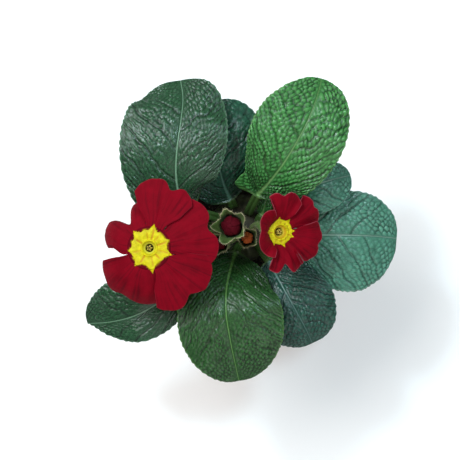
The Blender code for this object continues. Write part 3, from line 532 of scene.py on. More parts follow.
def margin_teeth(leaf, seed, length):
    """Small blunt teeth, uneven along the margin."""
    uneven = length / TOOTH_SPACING + 0.35 * lattice_noise(length / 7.0, length * 0, seed + 21)
    saw = np.abs(uneven % 1.0 - 0.62) / 0.62
    return TOOTH_DEPTH * (0.5 - np.minimum(saw, 1.0)) * leaf_share(leaf)


def leaf_share(leaf):
    """How strong a leaf's relief is for its size, 1 on a large one."""
    return min(1.0, max(LEAST_SHARE, leaf["left"] / FULL_SIZE_HALF_WIDTH))


def make_leaf(name, leaf, seed, finish):
    """A leaf with its stalk: a sheet closed between its quilted top and its ribbed underside."""
    spine = spine_from_crown(leaf, leaf["spine"], bearing_side(leaf["bearing"]))
    start = spine.knots[leaf["blade_at"] + 2]
    blade_length = spine.total - start
    small = leaf_share(leaf)
    fine = 1.0 if leaf["left"] > 20 else (0.8 if leaf["left"] > 8 else 0.45)
    stalk_rows, blade_rows, half_columns = int(26 * fine), int(168 * fine), int(46 * fine)

    turn = np.pi * np.arange(blade_rows) / blade_rows
    order_blade = leaf["veins"] * turn / np.pi
    margin = ((1 - np.cos(turn)) / 2) ** leaf["widest"]
    stalk = min(PETIOLE_HALF_WIDTH, leaf["left"] * 0.5)
    middle = 0.12 * margin + 0.88 * margin ** VEIN_SWEEP
    halves, lobe_back = [], np.zeros(stalk_rows + blade_rows)
    for half, full in zip((leaf["left"], leaf["right"]), leaf["full"]):
        width = np.where(turn > 0, np.sin(turn), 0.0) ** full
        blade_half = np.hypot(half * width, stalk * (1 - margin))
        if "lobe" in leaf and not halves:
            swell, lobe_at, lobe_width, back = leaf["lobe"]
            lobed = np.exp(-((margin - lobe_at) / lobe_width) ** 2) * smoothstep(margin / 0.03)
            blade_half = blade_half + swell * lobed
            lobe_back[stalk_rows:] = back * lobed
        halves.append(np.concatenate((np.full(stalk_rows, PETIOLE_HALF_WIDTH), blade_half)))
    stalk_along = start * np.arange(stalk_rows) / stalk_rows
    middle_at = np.concatenate((stalk_along, start + blade_length * middle))
    margin_at = np.concatenate((stalk_along, start + blade_length * margin))
    share = np.concatenate((np.zeros(stalk_rows), margin))
    order = np.concatenate((np.zeros(stalk_rows), order_blade))
    rows = stalk_rows + blade_rows

    steps = (np.arange(half_columns + 1) / half_columns) ** 1.2
    v = np.concatenate((-steps[:0:-1], steps))
    columns = len(v)
    side = np.sign(v)[None, :] * np.ones((rows, 1))
    size = np.abs(v)[None, :] * np.ones((rows, 1))
    half = np.where(side < 0, halves[0][:, None], halves[1][:, None])
    blade = smoothstep(share / 0.12)[:, None]

    steps_along = np.hypot(np.diff(margin_at), np.diff(halves[0]))
    margin_length = np.concatenate(([0.0], np.cumsum(steps_along)))[:, None]
    tooth = margin_teeth(leaf, seed, margin_length + np.where(side < 0, 0.0, OTHER_SIDE))
    tooth = tooth * smoothstep((size - 0.82) / 0.18) * blade
    along = middle_at[:, None] + (margin_at - middle_at)[:, None] * size ** 1.12
    along = along - np.where(side < 0, lobe_back[:, None], 0.0) * size ** 2
    across = -side * (size * half + tooth)
    base, up = leaf_surface(leaf, spine, start, along, across)

    row_step = np.gradient(base, axis=0)
    column_step = np.gradient(base, axis=1)
    normal = np.cross(row_step, column_step)
    normal = normal * np.where(np.sum(normal * up, -1, keepdims=True) < 0, -1.0, 1.0)
    length = np.linalg.norm(normal, axis=-1, keepdims=True)
    normal = unit(normal / np.maximum(length, 1e-9) + 0.35 * up)

    sweep = math.radians(VEIN_ANGLE)
    run = (along - start) * math.cos(sweep) + np.abs(across) * math.sin(sweep)
    run = run + np.where(side < 0, 10.0, 70.0)
    between_rows = length[..., 0] / np.maximum(np.linalg.norm(column_step, axis=-1), 1e-6)
    pitch = between_rows / np.maximum(np.gradient(order), 1e-3)[:, None]
    shifted = order[:, None] + np.where(side < 0, 0.0, 0.45)
    height, vein, rib = quilt(leaf, seed, shifted, run, pitch, across, share[:, None], size)
    edge = smoothstep((1 - size) / 0.06)
    tip = smoothstep((1 - share[:, None]) / 0.05)
    relief = height * blade * small * (0.35 + 0.65 * edge) * tip
    ripple = 0.35 * lattice_noise(along / 6.0, across / 6.0, seed + 31) * blade * size
    channel = 0.9 * np.sqrt(np.clip(1 - size ** 2, 0, 1)) - 0.5 * np.exp(-(size / 0.3) ** 2)
    top = base + normal * (relief + ripple + channel * (1 - blade) * small)[..., None]

    rib_depth = (RIB_DEPTH_BASE * (1 - share) + RIB_DEPTH_TIP * share)[:, None] * small
    blade_depth = BLADE_THICK * (1 - 0.45 * (1 - edge)) + rib_depth * rib
    blade_depth = blade_depth + 0.5 * vein * edge * (1 - rib)
    stalk_depth = PETIOLE_DEPTH * small * np.sqrt(np.clip(1.04 - size ** 2, 0.02, 1))
    depth = stalk_depth * (1 - blade) + blade_depth * blade
    under = top - normal * depth[..., None]

    tip_point, tip_up = leaf_surface(leaf, spine, start, np.array([spine.total]), np.array([0.0]))
    count = rows * columns
    vertices = np.concatenate((top.reshape(-1, 3), tip_point, under.reshape(-1, 3),
                               tip_point - tip_up * 0.4))
    faces = grid_faces(rows, columns)
    faces += grid_faces(rows, columns, first=count + 1, flip=True)
    last = (rows - 1) * columns
    for c in range(columns - 1):
        faces.append((last + c, last + c + 1, count))
        faces.append((last + c + count + 2, last + c + count + 1, 2 * count + 1))
        faces.append((c + 1, c, c + count + 1, c + count + 2))
    for column, flip in ((0, True), (columns - 1, False)):
        edge_line = [r * columns + column for r in range(rows)] + [count]
        for a, b in zip(edge_line, edge_line[1:]):
            face = (a, a + count + 1, b + count + 1, b)
            faces.append(face[::-1] if flip else face)
    # The height mark lays the finish's painted shade in the quilt's hollows
    on_top = dict(vein=vein, rib=rib * blade * (1 - 0.8 * share[:, None]), edge=1 - edge,
                  blade=blade * np.ones_like(size), height=np.clip(height + 0.5, 0, 1))
    attributes = {key: np.concatenate((mark.ravel(), [0.0]) * 2) for key, mark in on_top.items()}
    attributes["under"] = np.repeat((0.0, 1.0), count + 1)
    return piece_from("quilted_" + name, vertices, faces, finish, name, attributes)


# Materials

def add_node(tree, kind, settings):
    """Adds one node; a setting is a property, an input's value, or an output to link to it."""
    node = tree.nodes.new(kind)
    for key, value in settings.items():
        if isinstance(value, bpy.types.NodeSocket):
            tree.links.new(value, node.inputs[key])
        elif isinstance(key, str) and hasattr(node, key):
            setattr(node, key, value)
        else:
            node.inputs[key].default_value = value
    return node


def scale_for(size):
    """The texture scale that makes a pattern's features this many millimetres across."""
    return 1 / (size * MM)


def new_material(name):
    """A material with where each point lies on the plant."""
    made = bpy.data.materials.new(name)
    made.use_nodes = True
    tree = made.node_tree
    place = add_node(tree, "ShaderNodeTexCoord", {}).outputs["Object"]
    return made, tree, tree.nodes["Principled BSDF"], place


def marked_on(tree, *names):
    """What the meshes say of each point, such as how much of a vein it is."""
    return {name: add_node(tree, "ShaderNodeAttribute", {"attribute_name": name}).outputs["Fac"]
            for name in names}


def coated(tree, shade, coats):
    """Lays coats of colour over a shade.

    Each coat shows from least to most as its mark goes from low to high.
    """
    for mark, low, high, least, most, coat in coats:
        share = add_node(tree, "ShaderNodeMapRange", {0: mark, 1: low, 2: high, 3: least, 4: most})
        laid = add_node(tree, "ShaderNodeMix", {
            "data_type": "RGBA", 0: share.outputs[0], 6: shade, 7: coat})
        shade = laid.outputs[2]
    return shade


def roughened(tree, shader, strength, depth, height):
    """Fine relief of a surface, depth in millimetres."""
    bump = add_node(tree, "ShaderNodeBump", {
        "Strength": strength, "Distance": depth * MM, "Height": height})
    tree.links.new(bump.outputs[0], shader.inputs["Normal"])


def leaf_material(kind):
    """Fresh primrose leaf: waxy cuticle over soft tissue, so cool broken glints on a deep green."""
    upper, lower, vein, hollow_shade_and_patch_green = (colour(c) for c in LEAF_COLOURS[kind])
    made, tree, shader, place = new_material("waxy_primrose_leaf_" + kind)
    # Uneven green in patches 6 mm across, and the skin's own grain of 0.4 mm
    patches = add_node(tree, "ShaderNodeTexNoise", {
        "Scale": scale_for(6.2), "Detail": 4.0, "Vector": place}).outputs[0]
    grain = add_node(tree, "ShaderNodeTexNoise", {
        "Scale": scale_for(0.42), "Detail": 2.0, "Vector": place}).outputs[0]
    mark = marked_on(tree, "height", "vein", "rib", "edge", "blade", "under")
    # Painted shade: the quilt's hollows and vein grooves take the very dark hollow colour, the
    # raised cells the upper green; the same dark colour also lays random patches
    shade = coated(tree, hollow_shade_and_patch_green, [
        (mark["height"], 0.15, 0.7, 0.0, 1.0, upper),
        (patches, 0.35, 0.7, 0.0, 0.35, hollow_shade_and_patch_green),
        (grain, 0.5, 0.75, 0.0, 0.2, vein),
        (mark["vein"], 0.4, 1.0, 0.0, VEIN_PALENESS[kind], vein),
        (mark["rib"], 0.25, 0.95, 0.0, 0.85, vein),
        (mark["edge"], 0.5, 1.0, 0.0, 0.4, vein),
        (mark["blade"], 0.7, 0.0, 0.0, 1.0, colour("#3A5528")),
        (mark["under"], 0.4, 0.6, 0.0, 1.0, lower)])
    tree.links.new(shade, shader.inputs["Base Color"])
    gloss = add_node(tree, "ShaderNodeMapRange", {
        0: patches, 1: 0.3, 2: 0.7, 3: LEAF_GLOSS[0], 4: LEAF_GLOSS[1]})
    tree.links.new(gloss.outputs[0], shader.inputs["Roughness"])
    shader.inputs["Specular IOR Level"].default_value = 0.32
    shader.inputs["Subsurface Weight"].default_value = 0.05
    shader.inputs["Subsurface Radius"].default_value = (0.6 * MM, 1.0 * MM, 0.3 * MM)
    roughened(tree, shader, 0.35, 0.12, grain)
    return made


def eye_yellow(tree, place):
    """Primrose eye: chrome yellow skin, orange-brown in its creases, and a lighter greenish yellow
    in the throat, its green the throat's own and its lightness painted light in the tube's shade.
    """
    # Clouds of a warmer yellow, 2 mm across
    soft = add_node(tree, "ShaderNodeTexNoise", {
        "Scale": scale_for(2.0), "Detail": 3.0, "Vector": place}).outputs[0]
    mark = marked_on(tree, "throat", "crease")
    return coated(tree, colour("#A89A00"), [
        (soft, 0.3, 0.7, 0.0, 1.0, colour("#C4B804")),
        # Painted light in part: the throat and tube take a lighter greenish yellow, so that they
        # don't darken in the tube's shade
        (mark["throat"], 0.0, 1.0, 0.0, 1.0, colour("#C2BE3C")),
        (mark["crease"], 0.2, 1.0, 0.0, 0.7, colour("#A8620E"))])


def petal_material(name, deep, bright, rim):
    """Polyanthus petal: a velvet of tiny cone cells, so deep crimson, softly lit at the folds."""
    made, tree, shader, place = new_material(name)
    # Cloudy tone 5 mm across; the cone cells, 0.05 mm in life, are drawn at 0.2 mm to show
    cloud = add_node(tree, "ShaderNodeTexNoise", {
        "Scale": scale_for(5.2), "Detail": 4.0, "Vector": place}).outputs[0]
    cones = add_node(tree, "ShaderNodeTexVoronoi", {
        "Scale": scale_for(0.2), "Vector": place}).outputs[0]
    mark = marked_on(tree, "streak", "rim", "under", "star")
    shade = coated(tree, colour(deep), [
        (cloud, 0.3, 0.7, 0.0, 1.0, colour(bright)),
        (mark["streak"], 0.3, 0.9, 0.0, 0.6, colour(bright)),
        # This dark coat also lays painted shade in the laps of the furled buds, where their streak
        # mark is low
        (mark["streak"], 0.35, 0.05, 0.0, 0.5, colour("#34000A")),
        (mark["rim"], 0.3, 1.0, 0.0, 0.5, colour(rim)),
        (mark["under"], 0.4, 0.6, 0.0, 0.5, colour("#8A3040")),
        (mark["star"], 0.0, 1.0, 0.0, 1.0, eye_yellow(tree, place))])
    tree.links.new(shade, shader.inputs["Base Color"])
    shader.inputs["Roughness"].default_value = 0.75
    shader.inputs["Sheen Weight"].default_value = 0.025
    shader.inputs["Sheen Roughness"].default_value = 0.4
    shader.inputs["Sheen Tint"].default_value = colour("#E89098")
    shader.inputs["Specular IOR Level"].default_value = 0.06
    roughened(tree, shader, 0.4, 0.08, cones)
    return made


def eye_material():
    """The eye's own skin: fleshy and finely puckered, duller than wax."""
    made, tree, shader, place = new_material("fleshy_yellow_eye")
    tree.links.new(eye_yellow(tree, place), shader.inputs["Base Color"])
    shader.inputs["Roughness"].default_value = 0.6
    shader.inputs["Specular IOR Level"].default_value = 0.2
    # Puckers of half a millimetre
    pucker = add_node(tree, "ShaderNodeTexNoise", {
        "Scale": scale_for(0.53), "Detail": 2.0, "Vector": place}).outputs[0]
    roughened(tree, shader, 0.4, 0.1, pucker)
    return made


def anther_material():
    """Anthers dusted with pollen: powdery pale ochre, dull."""
    made, tree, shader, place = new_material("pollen_dusted_anther")
    # Pollen clings in grains of 0.17 mm
    dust = add_node(tree, "ShaderNodeTexVoronoi", {
        "Scale": scale_for(0.17), "Vector": place}).outputs[0]
    shade = coated(tree, colour("#E0CC6A"), [(dust, 0.1, 0.7, 0.0, 1.0, colour("#8E7424"))])
    tree.links.new(shade, shader.inputs["Base Color"])
    shader.inputs["Roughness"].default_value = 0.85
    roughened(tree, shader, 0.6, 0.1, dust)
    return made


def stem_material():
    """Downy stem and calyx: juicy pale green with cream margins that fray in to hairs, and painted
    shade deepening inside the cup.
    """
    made, tree, shader, place = new_material("downy_stem_and_calyx")
    # Green clouds 4 mm across under a down of 0.4 mm
    cloud = add_node(tree, "ShaderNodeTexNoise", {
        "Scale": scale_for(3.8), "Detail": 4.0, "Vector": place}).outputs[0]
    down = add_node(tree, "ShaderNodeTexNoise", {
        "Scale": scale_for(0.38), "Detail": 2.0, "Vector": place}).outputs[0]
    mark = marked_on(tree, "share", "inner", "edge")
    shade = coated(tree, colour("#3A5622"), [
        (cloud, 0.3, 0.7, 0.0, 1.0, colour("#5C7A38")),
        (down, 0.52, 0.72, 0.0, 0.3, colour("#BBC88E")),
        (mark["share"], 0.0, 0.4, 0.35, 0.0, colour("#7A4A38")),
        # Painted shade: the inside of the calyx cup turns darker olive the deeper it goes
        (mark["inner"], 0.0, 1.0, 0.0, 0.75, colour("#34441A")),
        (mark["edge"], 0.4, 1.0, 0.0, 0.8, colour("#A89C7C"))])
    tree.links.new(shade, shader.inputs["Base Color"])
    shader.inputs["Roughness"].default_value = 0.6
    shader.inputs["Sheen Weight"].default_value = 0.04
    shader.inputs["Specular IOR Level"].default_value = 0.25
    roughened(tree, shader, 0.4, 0.1, down)
    return made


def pot_material():
    """Injection-moulded terracotta polypropylene: fine spark-eroded grain, dulled by peat dust."""
    made, tree, shader, place = new_material("moulded_terracotta_polypropylene")
    # Grain of the mould 0.45 mm across, flow marks of 36 mm, clinging dust in spots of 8 mm
    grain = add_node(tree, "ShaderNodeTexNoise", {
        "Scale": scale_for(0.45), "Detail": 3.0, "Vector": place}).outputs[0]
    flow = add_node(tree, "ShaderNodeTexNoise", {
        "Scale": scale_for(36.0), "Detail": 5.0, "Distortion": 0.6, "Vector": place}).outputs[0]
    dust = add_node(tree, "ShaderNodeTexNoise", {
        "Scale": scale_for(8.3), "Detail": 8.0, "Vector": place}).outputs[0]
    shade = coated(tree, colour("#95502F"), [
        (flow, 0.35, 0.65, 0.0, 1.0, colour("#A75C38")),
        (grain, 0.55, 0.75, 0.0, 0.3, colour("#7E4226")),
        (dust, 0.58, 0.74, 0.0, 0.35, colour("#6A4A38"))])
    tree.links.new(shade, shader.inputs["Base Color"])
    gloss = add_node(tree, "ShaderNodeMapRange", {0: dust, 1: 0.35, 2: 0.7, 3: 0.38, 4: 0.6})
    tree.links.new(gloss.outputs[0], shader.inputs["Roughness"])
    shader.inputs["IOR"].default_value = 1.49
    roughened(tree, shader, 0.25, 0.06, grain)
    return made


def compost_material():
    """Peat and fine bark: matte and near-black, partly the peat's own colour and partly painted
    shade under the leaves, with paler dry crumbs and fibres.
    """
    made, tree, shader, place = new_material("peaty_compost_with_painted_shade")
    # Clods of 1.4 mm, broken down to dust
    clods = add_node(tree, "ShaderNodeTexNoise", {
        "Scale": scale_for(1.4), "Detail": 8.0, "Vector": place}).outputs[0]
    mark = marked_on(tree, "tone")
    # Painted shade in part: ground and clods are kept near-black for the shade that falls under the
    # leaves
    shade = coated(tree, colour("#100C08"), [
        (clods, 0.35, 0.65, 0.0, 1.0, colour("#2A1E16")),
        (mark["tone"], 0.3, 1.0, 0.0, 0.6, colour("#6B4E36"))])
    tree.links.new(shade, shader.inputs["Base Color"])
    shader.inputs["Roughness"].default_value = 0.92
    roughened(tree, shader, 0.9, 0.4, clods)
    return made


def crown_material():
    """Rootstock bark: very dark green-brown, partly painted shade under the leaves, ringed by the
    scars of old stalks.
    """
    made, tree, shader, place = new_material("scarred_rootstock_bark")
    # Bark flakes of 2.4 mm, and scars that ring it every 8 mm or so
    bark = add_node(tree, "ShaderNodeTexNoise", {
        "Scale": scale_for(2.4), "Detail": 6.0, "Vector": place}).outputs[0]
    scars = add_node(tree, "ShaderNodeTexWave", {
        "bands_direction": "Z", "Scale": scale_for(8.3), "Distortion": 6.0,
        "Vector": place}).outputs[1]
    # Painted shade in part: the bark is kept very dark for the shade under the leaves
    shade = coated(tree, colour("#1E2010"), [
        (bark, 0.35, 0.65, 0.0, 1.0, colour("#3A3C20")),
        (scars, 0.6, 1.0, 0.0, 0.5, colour("#2A1C14"))])
    tree.links.new(shade, shader.inputs["Base Color"])
    shader.inputs["Roughness"].default_value = 0.8
    roughened(tree, shader, 0.7, 0.3, bark)
    return made


def make_leaves():
    """Every leaf, with one finish for each age and place on the plant."""
    finishes = {kind: leaf_material(kind) for kind in LEAF_COLOURS}
    for seed, (name, leaf) in enumerate(LEAVES.items()):
        make_leaf(name, leaf, 11 * seed + 3, finishes[leaf["finish"]])


# Flowers

def face_turn(lean, lean_to):
    """Turns straight up into a direction that leans by some degrees towards a bearing."""
    axis = Vector((-math.sin(math.radians(lean_to)), math.cos(math.radians(lean_to)), 0.0))
    return np.array(Matrix.Rotation(math.radians(lean), 3, axis))


def placed(flower, points):
    """Points of a flower's own upright frame, moved to where the flower is and how it leans."""
    turn = face_turn(flower["lean"], flower["lean_to"])
    return np.asarray(points) @ turn.T + np.array(flower["face"])


def dish(radius):
    """Height of the flower's face near its throat."""
    return -0.9 * np.exp(-((radius - TUBE_RADIUS) / 2.2) ** 2)


def petal_surface(petal, size, side, out, seed):
    """Upper face of a petal: side runs -1 to 1 across it, out 0 to 1 to its edge."""
    join = JOIN_RADIUS * size
    rounded = 1 - CORNER_DROP * np.abs(side) ** 3
    ragged = 0.45 * lattice_noise(side * 3.1 + 9, side * 0 + 0.5, seed)
    ragged = ragged + 0.2 * lattice_noise(side * 9 + 7, side * 0, seed + 1)
    notch = petal["notch"] * np.exp(-((side - petal["notch_at"]) / NOTCH_WIDTH) ** 2)
    edge = petal["length"] * rounded - notch + ragged * size
    travel = (edge - join) * out / PETAL_STEPS
    radius, height = join + side * 0, dish(join) + side * 0
    for step in range(PETAL_STEPS):
        share = out * (step + 0.5) / PETAL_STEPS
        slope = np.radians(petal["slope"][0] + (petal["slope"][1] - petal["slope"][0]) * share)
        radius = radius + travel * np.cos(slope)
        height = height - travel * np.sin(slope)
    parted = smoothstep(out / SLIT_END)
    spread = smoothstep((out - SPREAD_START) / SPREAD_LENGTH)
    low, high = petal.get("spread", (1.0, 1.0))
    widen = (SLIT + OVERLAP * np.where(side > 0, high, low)) * spread - SLIT * parted
    middle, half = (petal["first"] + petal["last"]) / 2, (petal["last"] - petal["first"]) / 2
    bearing = np.radians(middle + side * (half + widen))
    layer = np.where(side > 0, petal["layers"][1], petal["layers"][0])
    height = height + layer * LAYER_STEP * parted * side ** 2
    height = height + petal["fold"] * out * (np.cos(side * np.pi * 1.5) - 0.4) * 0.5
    # A crease down the middle, the furrows of the veins and a limp edge
    crease = np.exp(-(side / 0.07) ** 2) * smoothstep(out * 3) * (1.2 - out)
    furrows = lattice_noise(side * 8 + 3, out * 1.6, seed + 2) * smoothstep(out * 2)
    limp = smoothstep((out - 0.55) / 0.45) * lattice_noise(side * 2.6 + 5, out * 2, seed + 3)
    height = height - CREASE_DEPTH * size * crease
    height = height + FURROW_DEPTH * furrows + LIMPNESS * size * limp
    for sign, rise in zip((-1, 1), petal.get("rolled", (0.0, 0.0))):
        lip = smoothstep((side * sign - 0.68) / 0.32) * smoothstep((out - 0.25) / 0.4)
        height = height + rise * lip
        bearing = bearing - sign * lip * abs(rise) * 0.055
    return np.stack((radius * np.cos(bearing), radius * np.sin(bearing), height), -1)


def apart_from(bearing, degrees):
    """How far each bearing is from one in degrees, the short way round."""
    return np.abs((bearing - math.radians(degrees) + np.pi) % math.tau - np.pi)


def star_edge(flower, bearing):
    """How far the yellow reaches at each bearing: long spikes, with small teeth between them."""
    teeth = lattice_noise(bearing * 9 / math.tau * 3, bearing * 0 + 2, 71)
    reach = flower["star"] + 0.5 * flower["size"] * teeth
    foot = flower["star"] - SPIKE_FOOT
    for spike_bearing, spike in flower["spikes"]:
        apart = apart_from(bearing, spike_bearing)
        reach = np.maximum(reach, foot + (spike - foot) * np.exp(-apart / SPIKE_WIDTH))
    return reach


def eye_marks(flower, points):
    """Where the yellow of the eye, its orange creases and its raised ring lie."""
    radius = np.hypot(points[..., 0], points[..., 1])
    bearing = np.arctan2(points[..., 1], points[..., 0])
    edge = star_edge(flower, bearing)
    star = smoothstep((edge - radius) / (0.35 * flower["size"]) + 0.5)
    size = flower["size"]
    crease = np.zeros(radius.shape)
    for petal in flower["petals"]:
        for at, weight in ((petal["first"], 0.75), ((petal["first"] + petal["last"]) / 2, 1.0)):
            apart = apart_from(bearing, at) * radius
            crease = np.maximum(crease, weight * np.exp(-(apart / (0.42 * size + 0.1)) ** 2))
    crease = crease * smoothstep(radius - THROAT_EDGE - 0.7)
    crease = crease * smoothstep((edge * 0.97 - radius) / 1.4)
    throat = smoothstep((THROAT_EDGE + 0.5 - radius) / 0.9)
    crease = np.maximum(crease, flower["warm"] * np.exp(-((radius - THROAT_EDGE) / 0.7) ** 2))
    return dict(star=star, crease=crease, throat=throat)


def closed_sheet(top, under, wrap=False):
    """Vertices and faces of a thin closed sheet between two grids of points."""
    rows, columns = top.shape[:2]
    count = rows * columns
    faces = grid_faces(rows, columns, flip=True, wrap=wrap)
    faces += grid_faces(rows, columns, first=count, wrap=wrap)
    for row, flip in ((0, True), (rows - 1, False)):
        for c in range(columns if wrap else columns - 1):
            a, b = row * columns + c, row * columns + (c + 1) % columns
            face = (b, a, a + count, b + count)
            faces.append(face[::-1] if flip else face)
    if not wrap:
        for column, flip in ((0, False), (columns - 1, True)):
            for r in range(rows - 1):
                a, b = r * columns + column, (r + 1) * columns + column
                face = (b, a, a + count, b + count)
                faces.append(face[::-1] if flip else face)
    return np.concatenate((top.reshape(-1, 3), under.reshape(-1, 3))), faces


def joined(parts):
    """Puts several (vertices, faces, attributes) together as one mesh."""
    vertices, faces, attributes, first = [], [], {}, 0
    for points, part_faces, marks in parts:
        vertices.append(np.asarray(points))
        faces += [tuple(i + first for i in face) for face in part_faces]
        first += len(points)
        for key, values in marks.items():
            attributes.setdefault(key, []).append(np.asarray(values, float).ravel())
    attributes = {key: np.concatenate(values) for key, values in attributes.items()}
    return np.concatenate(vertices), faces, attributes


def turned_sheet(profile, sides):
    """A closed ring turned about Z from a closed profile of (radius, height)."""
    angle = math.tau * np.arange(sides) / sides
    profile = np.array(profile)
    grid = np.stack((profile[:, :1] * np.cos(angle), profile[:, :1] * np.sin(angle),
                     profile[:, 1:] * np.ones(sides)), -1)
    faces = grid_faces(len(profile), sides, flip=True, wrap=True)
    last = (len(profile) - 1) * sides
    for s in range(sides):
        t = (s + 1) % sides
        faces.append((last + s, s, t, last + t))
    return grid.reshape(-1, 3), faces


def make_corolla(name, flower, seed, finish):
    """Five velvet petals on a short tube, with the eye's yellow running out on to them."""
    size = flower["size"]
    join = JOIN_RADIUS * size
    parts = []
    inner = TUBE_RADIUS - TUBE_WALL
    rings = np.linspace(TUBE_RADIUS, join + 0.2, 10)
    profile = [(inner, -TUBE_LENGTH + 1.5), (inner, -6.0), (inner, -2.0), (inner + 0.25, -1.4)]
    profile += [(r, float(dish(r))) for r in rings]
    profile += [(r, float(dish(r)) - PETAL_THICK) for r in rings[:0:-1]]
    profile += [(TUBE_RADIUS, -2.6), (TUBE_RADIUS, -7.0), (TUBE_RADIUS, -TUBE_LENGTH)]
    points, faces = turned_sheet(profile, 120)
    marks = eye_marks(flower, points)
    marks.update(rim=np.zeros(len(points)), streak=np.zeros(len(points)),
                 under=(points[:, 2] < -1.2).astype(float))
    parts.append((points, faces, marks))
    columns, rows = (72, 58) if size > 0.8 else (58, 46)
    side_line = np.sin(np.linspace(-1, 1, columns) * np.pi / 2)
    side_line = 0.5 * side_line + 0.5 * np.linspace(-1, 1, columns)
    out_line = (np.arange(rows) / (rows - 1)) ** 1.1
    out_line = 0.75 * out_line + 0.25 * np.sin(out_line * np.pi / 2)
    side, out = np.meshgrid(side_line, out_line)
    for p, petal in enumerate(flower["petals"]):
        top = petal_surface(petal, size, side, out, seed + 10 * p)
        thin = PETAL_THICK * (1 - 0.55 * smoothstep((out - 0.8) / 0.2))
        under = top - np.array((0, 0, 1.0)) * thin[..., None]
        marks = eye_marks(flower, top)
        end = smoothstep((out - RIM_START) / (1 - RIM_START))
        sides = smoothstep((np.abs(side) - RIM_START) / (1 - RIM_START))
        sides = sides * smoothstep((out - 0.3) / 0.3)
        streak = lattice_noise(side * 26 + 40, out * 1.5, seed + 5 + p)
        none = np.zeros(out.shape)
        marks.update(rim=np.maximum(end, sides) * flower["rim"], streak=0.5 + 0.5 * streak,
                     under=none)
        lower = dict(marks, star=none, crease=none, under=none + 1)
        both = {key: np.concatenate((marks[key].ravel(), lower[key].ravel())) for key in marks}
        vertices, faces = closed_sheet(top, under)
        parts.append((vertices, faces, both))
    points, faces, marks = joined(parts)
    points = placed(flower, points)
    return piece_from("velvet_" + name, points, faces, finish, name, marks)


def make_eye(name, flower, seed, finish):
    """The raised yellow rim of the throat and the folded skin of the star round it."""
    size = flower["size"]
    sides, rows = 200, 26
    bearing = math.tau * np.arange(sides) / sides
    reach = np.minimum(star_edge(flower, bearing), JOIN_RADIUS * size - 0.1)
    share = (np.arange(rows) / (rows - 1))[:, None]
    radius = THROAT_EDGE + (reach - THROAT_EDGE) * share ** 1.15
    angle = bearing[None, :] * np.ones((rows, 1))
    flat = np.stack((radius * np.cos(angle), radius * np.sin(angle), radius * 0), -1)
    marks = eye_marks(flower, flat)
    ring = THROAT_RING * np.exp(-((radius - THROAT_EDGE - 0.9) / 0.55) ** 2)
    ring = ring * (1 + 0.3 * lattice_noise(angle * 5, radius * 0, seed))
    folds = -0.28 * marks["crease"] + 0.1 * lattice_noise(angle * 14, radius * 1.2, seed + 1)
    taper = smoothstep((1 - share) / 0.3)
    height = dish(radius) + 0.12 + (0.25 + ring + folds) * taper
    height = height - 0.5 * smoothstep((THROAT_EDGE + 0.3 - radius) / 0.3)
    top = np.stack((radius * np.cos(angle), radius * np.sin(angle), height), -1)
    under = top.copy()
    under[..., 2] = dish(radius) + 0.04 - 0.5 * smoothstep((THROAT_EDGE + 0.3 - radius) / 0.3)
    vertices, faces = closed_sheet(top, under, wrap=True)
    both = {key: np.concatenate((mark.ravel(), mark.ravel())) for key, mark in marks.items()}
    points = placed(flower, vertices)
    return piece_from("star_" + name, points, faces, finish, name, both)


def pod(middle, axis, radius, length, seed, sides=14, rows=10):
    """A small rounded capsule, a little uneven."""
    axis = unit(np.asarray(axis, float))
    across = unit(np.cross((0.0, 1.0, 0.05), axis))
    beside = np.cross(axis, across)
    turn = np.pi * (np.arange(rows) + 0.5) / rows
    angle = math.tau * np.arange(sides) / sides
    girth = radius * np.sin(turn)[:, None] ** 0.7 * (1 + 0.12 * np.sin(angle * 2 + seed))[None, :]
    reach = -np.cos(turn) * length / 2
    grid = (np.asarray(middle) + across * (girth * np.cos(angle))[..., None]
            + beside * (girth * np.sin(angle))[..., None] + axis * reach[:, None, None])
    faces = grid_faces(rows, sides, wrap=True) + end_caps(rows, sides)
    return grid.reshape(-1, 3), faces, {}


def make_anthers(name, flower, seed, finish):
    """Five anthers round a stigma, deep in the mouth of the tube."""
    parts = []
    for i in range(5):
        angle = math.radians(flower["eye_turn"] + 72 * i)
        middle = (0.88 * math.cos(angle), 0.88 * math.sin(angle), -1.8)
        lean = (-0.2 * math.cos(angle), -0.2 * math.sin(angle), 1.0)
        parts.append(pod(middle, lean, 0.42, 2.6, seed + i))
        foot = (0.95 * math.cos(angle), 0.95 * math.sin(angle), -4.2)
        parts.append(pod(foot, (0, 0, 1), 0.16, 2.2, seed + i, 8, 6))
    parts.append(pod((0, 0, -3.2), (0, 0, 1), 0.3, 3.4, seed))
    points, faces, _ = joined(parts)
    points = placed(flower, points)
    return piece_from("pollen_" + name, points, faces, finish, name)


# Stems, calyces and buds

def ring_frame(forward):
    """Two directions square to the one in which a stem runs."""
    across = unit(np.cross((0.0, 1.0, 0.0), forward))
    return across, np.cross(forward, across)


def hairs(roots, outward, rng, length, width):
    """Fine three-sided hairs that stand on a stem or along a sepal."""
    points, faces = [], []
    for root, out in zip(roots, outward):
        away = unit(out + rng.normal(0, 0.35, 3))
        across = unit(np.cross(away, (0.3, 0.2, 1.0)))
        beside = np.cross(away, across)
        tip = root + away * length * rng.uniform(0.6, 1.2) + UP * rng.normal(0, 0.12)
        first = len(points)
        for turn in THREE_SIDES:
            around = across * math.cos(turn) + beside * math.sin(turn)
            points.append(root - away * 0.1 + around * width)
        points.append(tip)
        faces += [(first, first + 1, first + 3), (first + 1, first + 2, first + 3),
                  (first + 2, first, first + 3), (first + 2, first + 1, first)]
    return points, faces


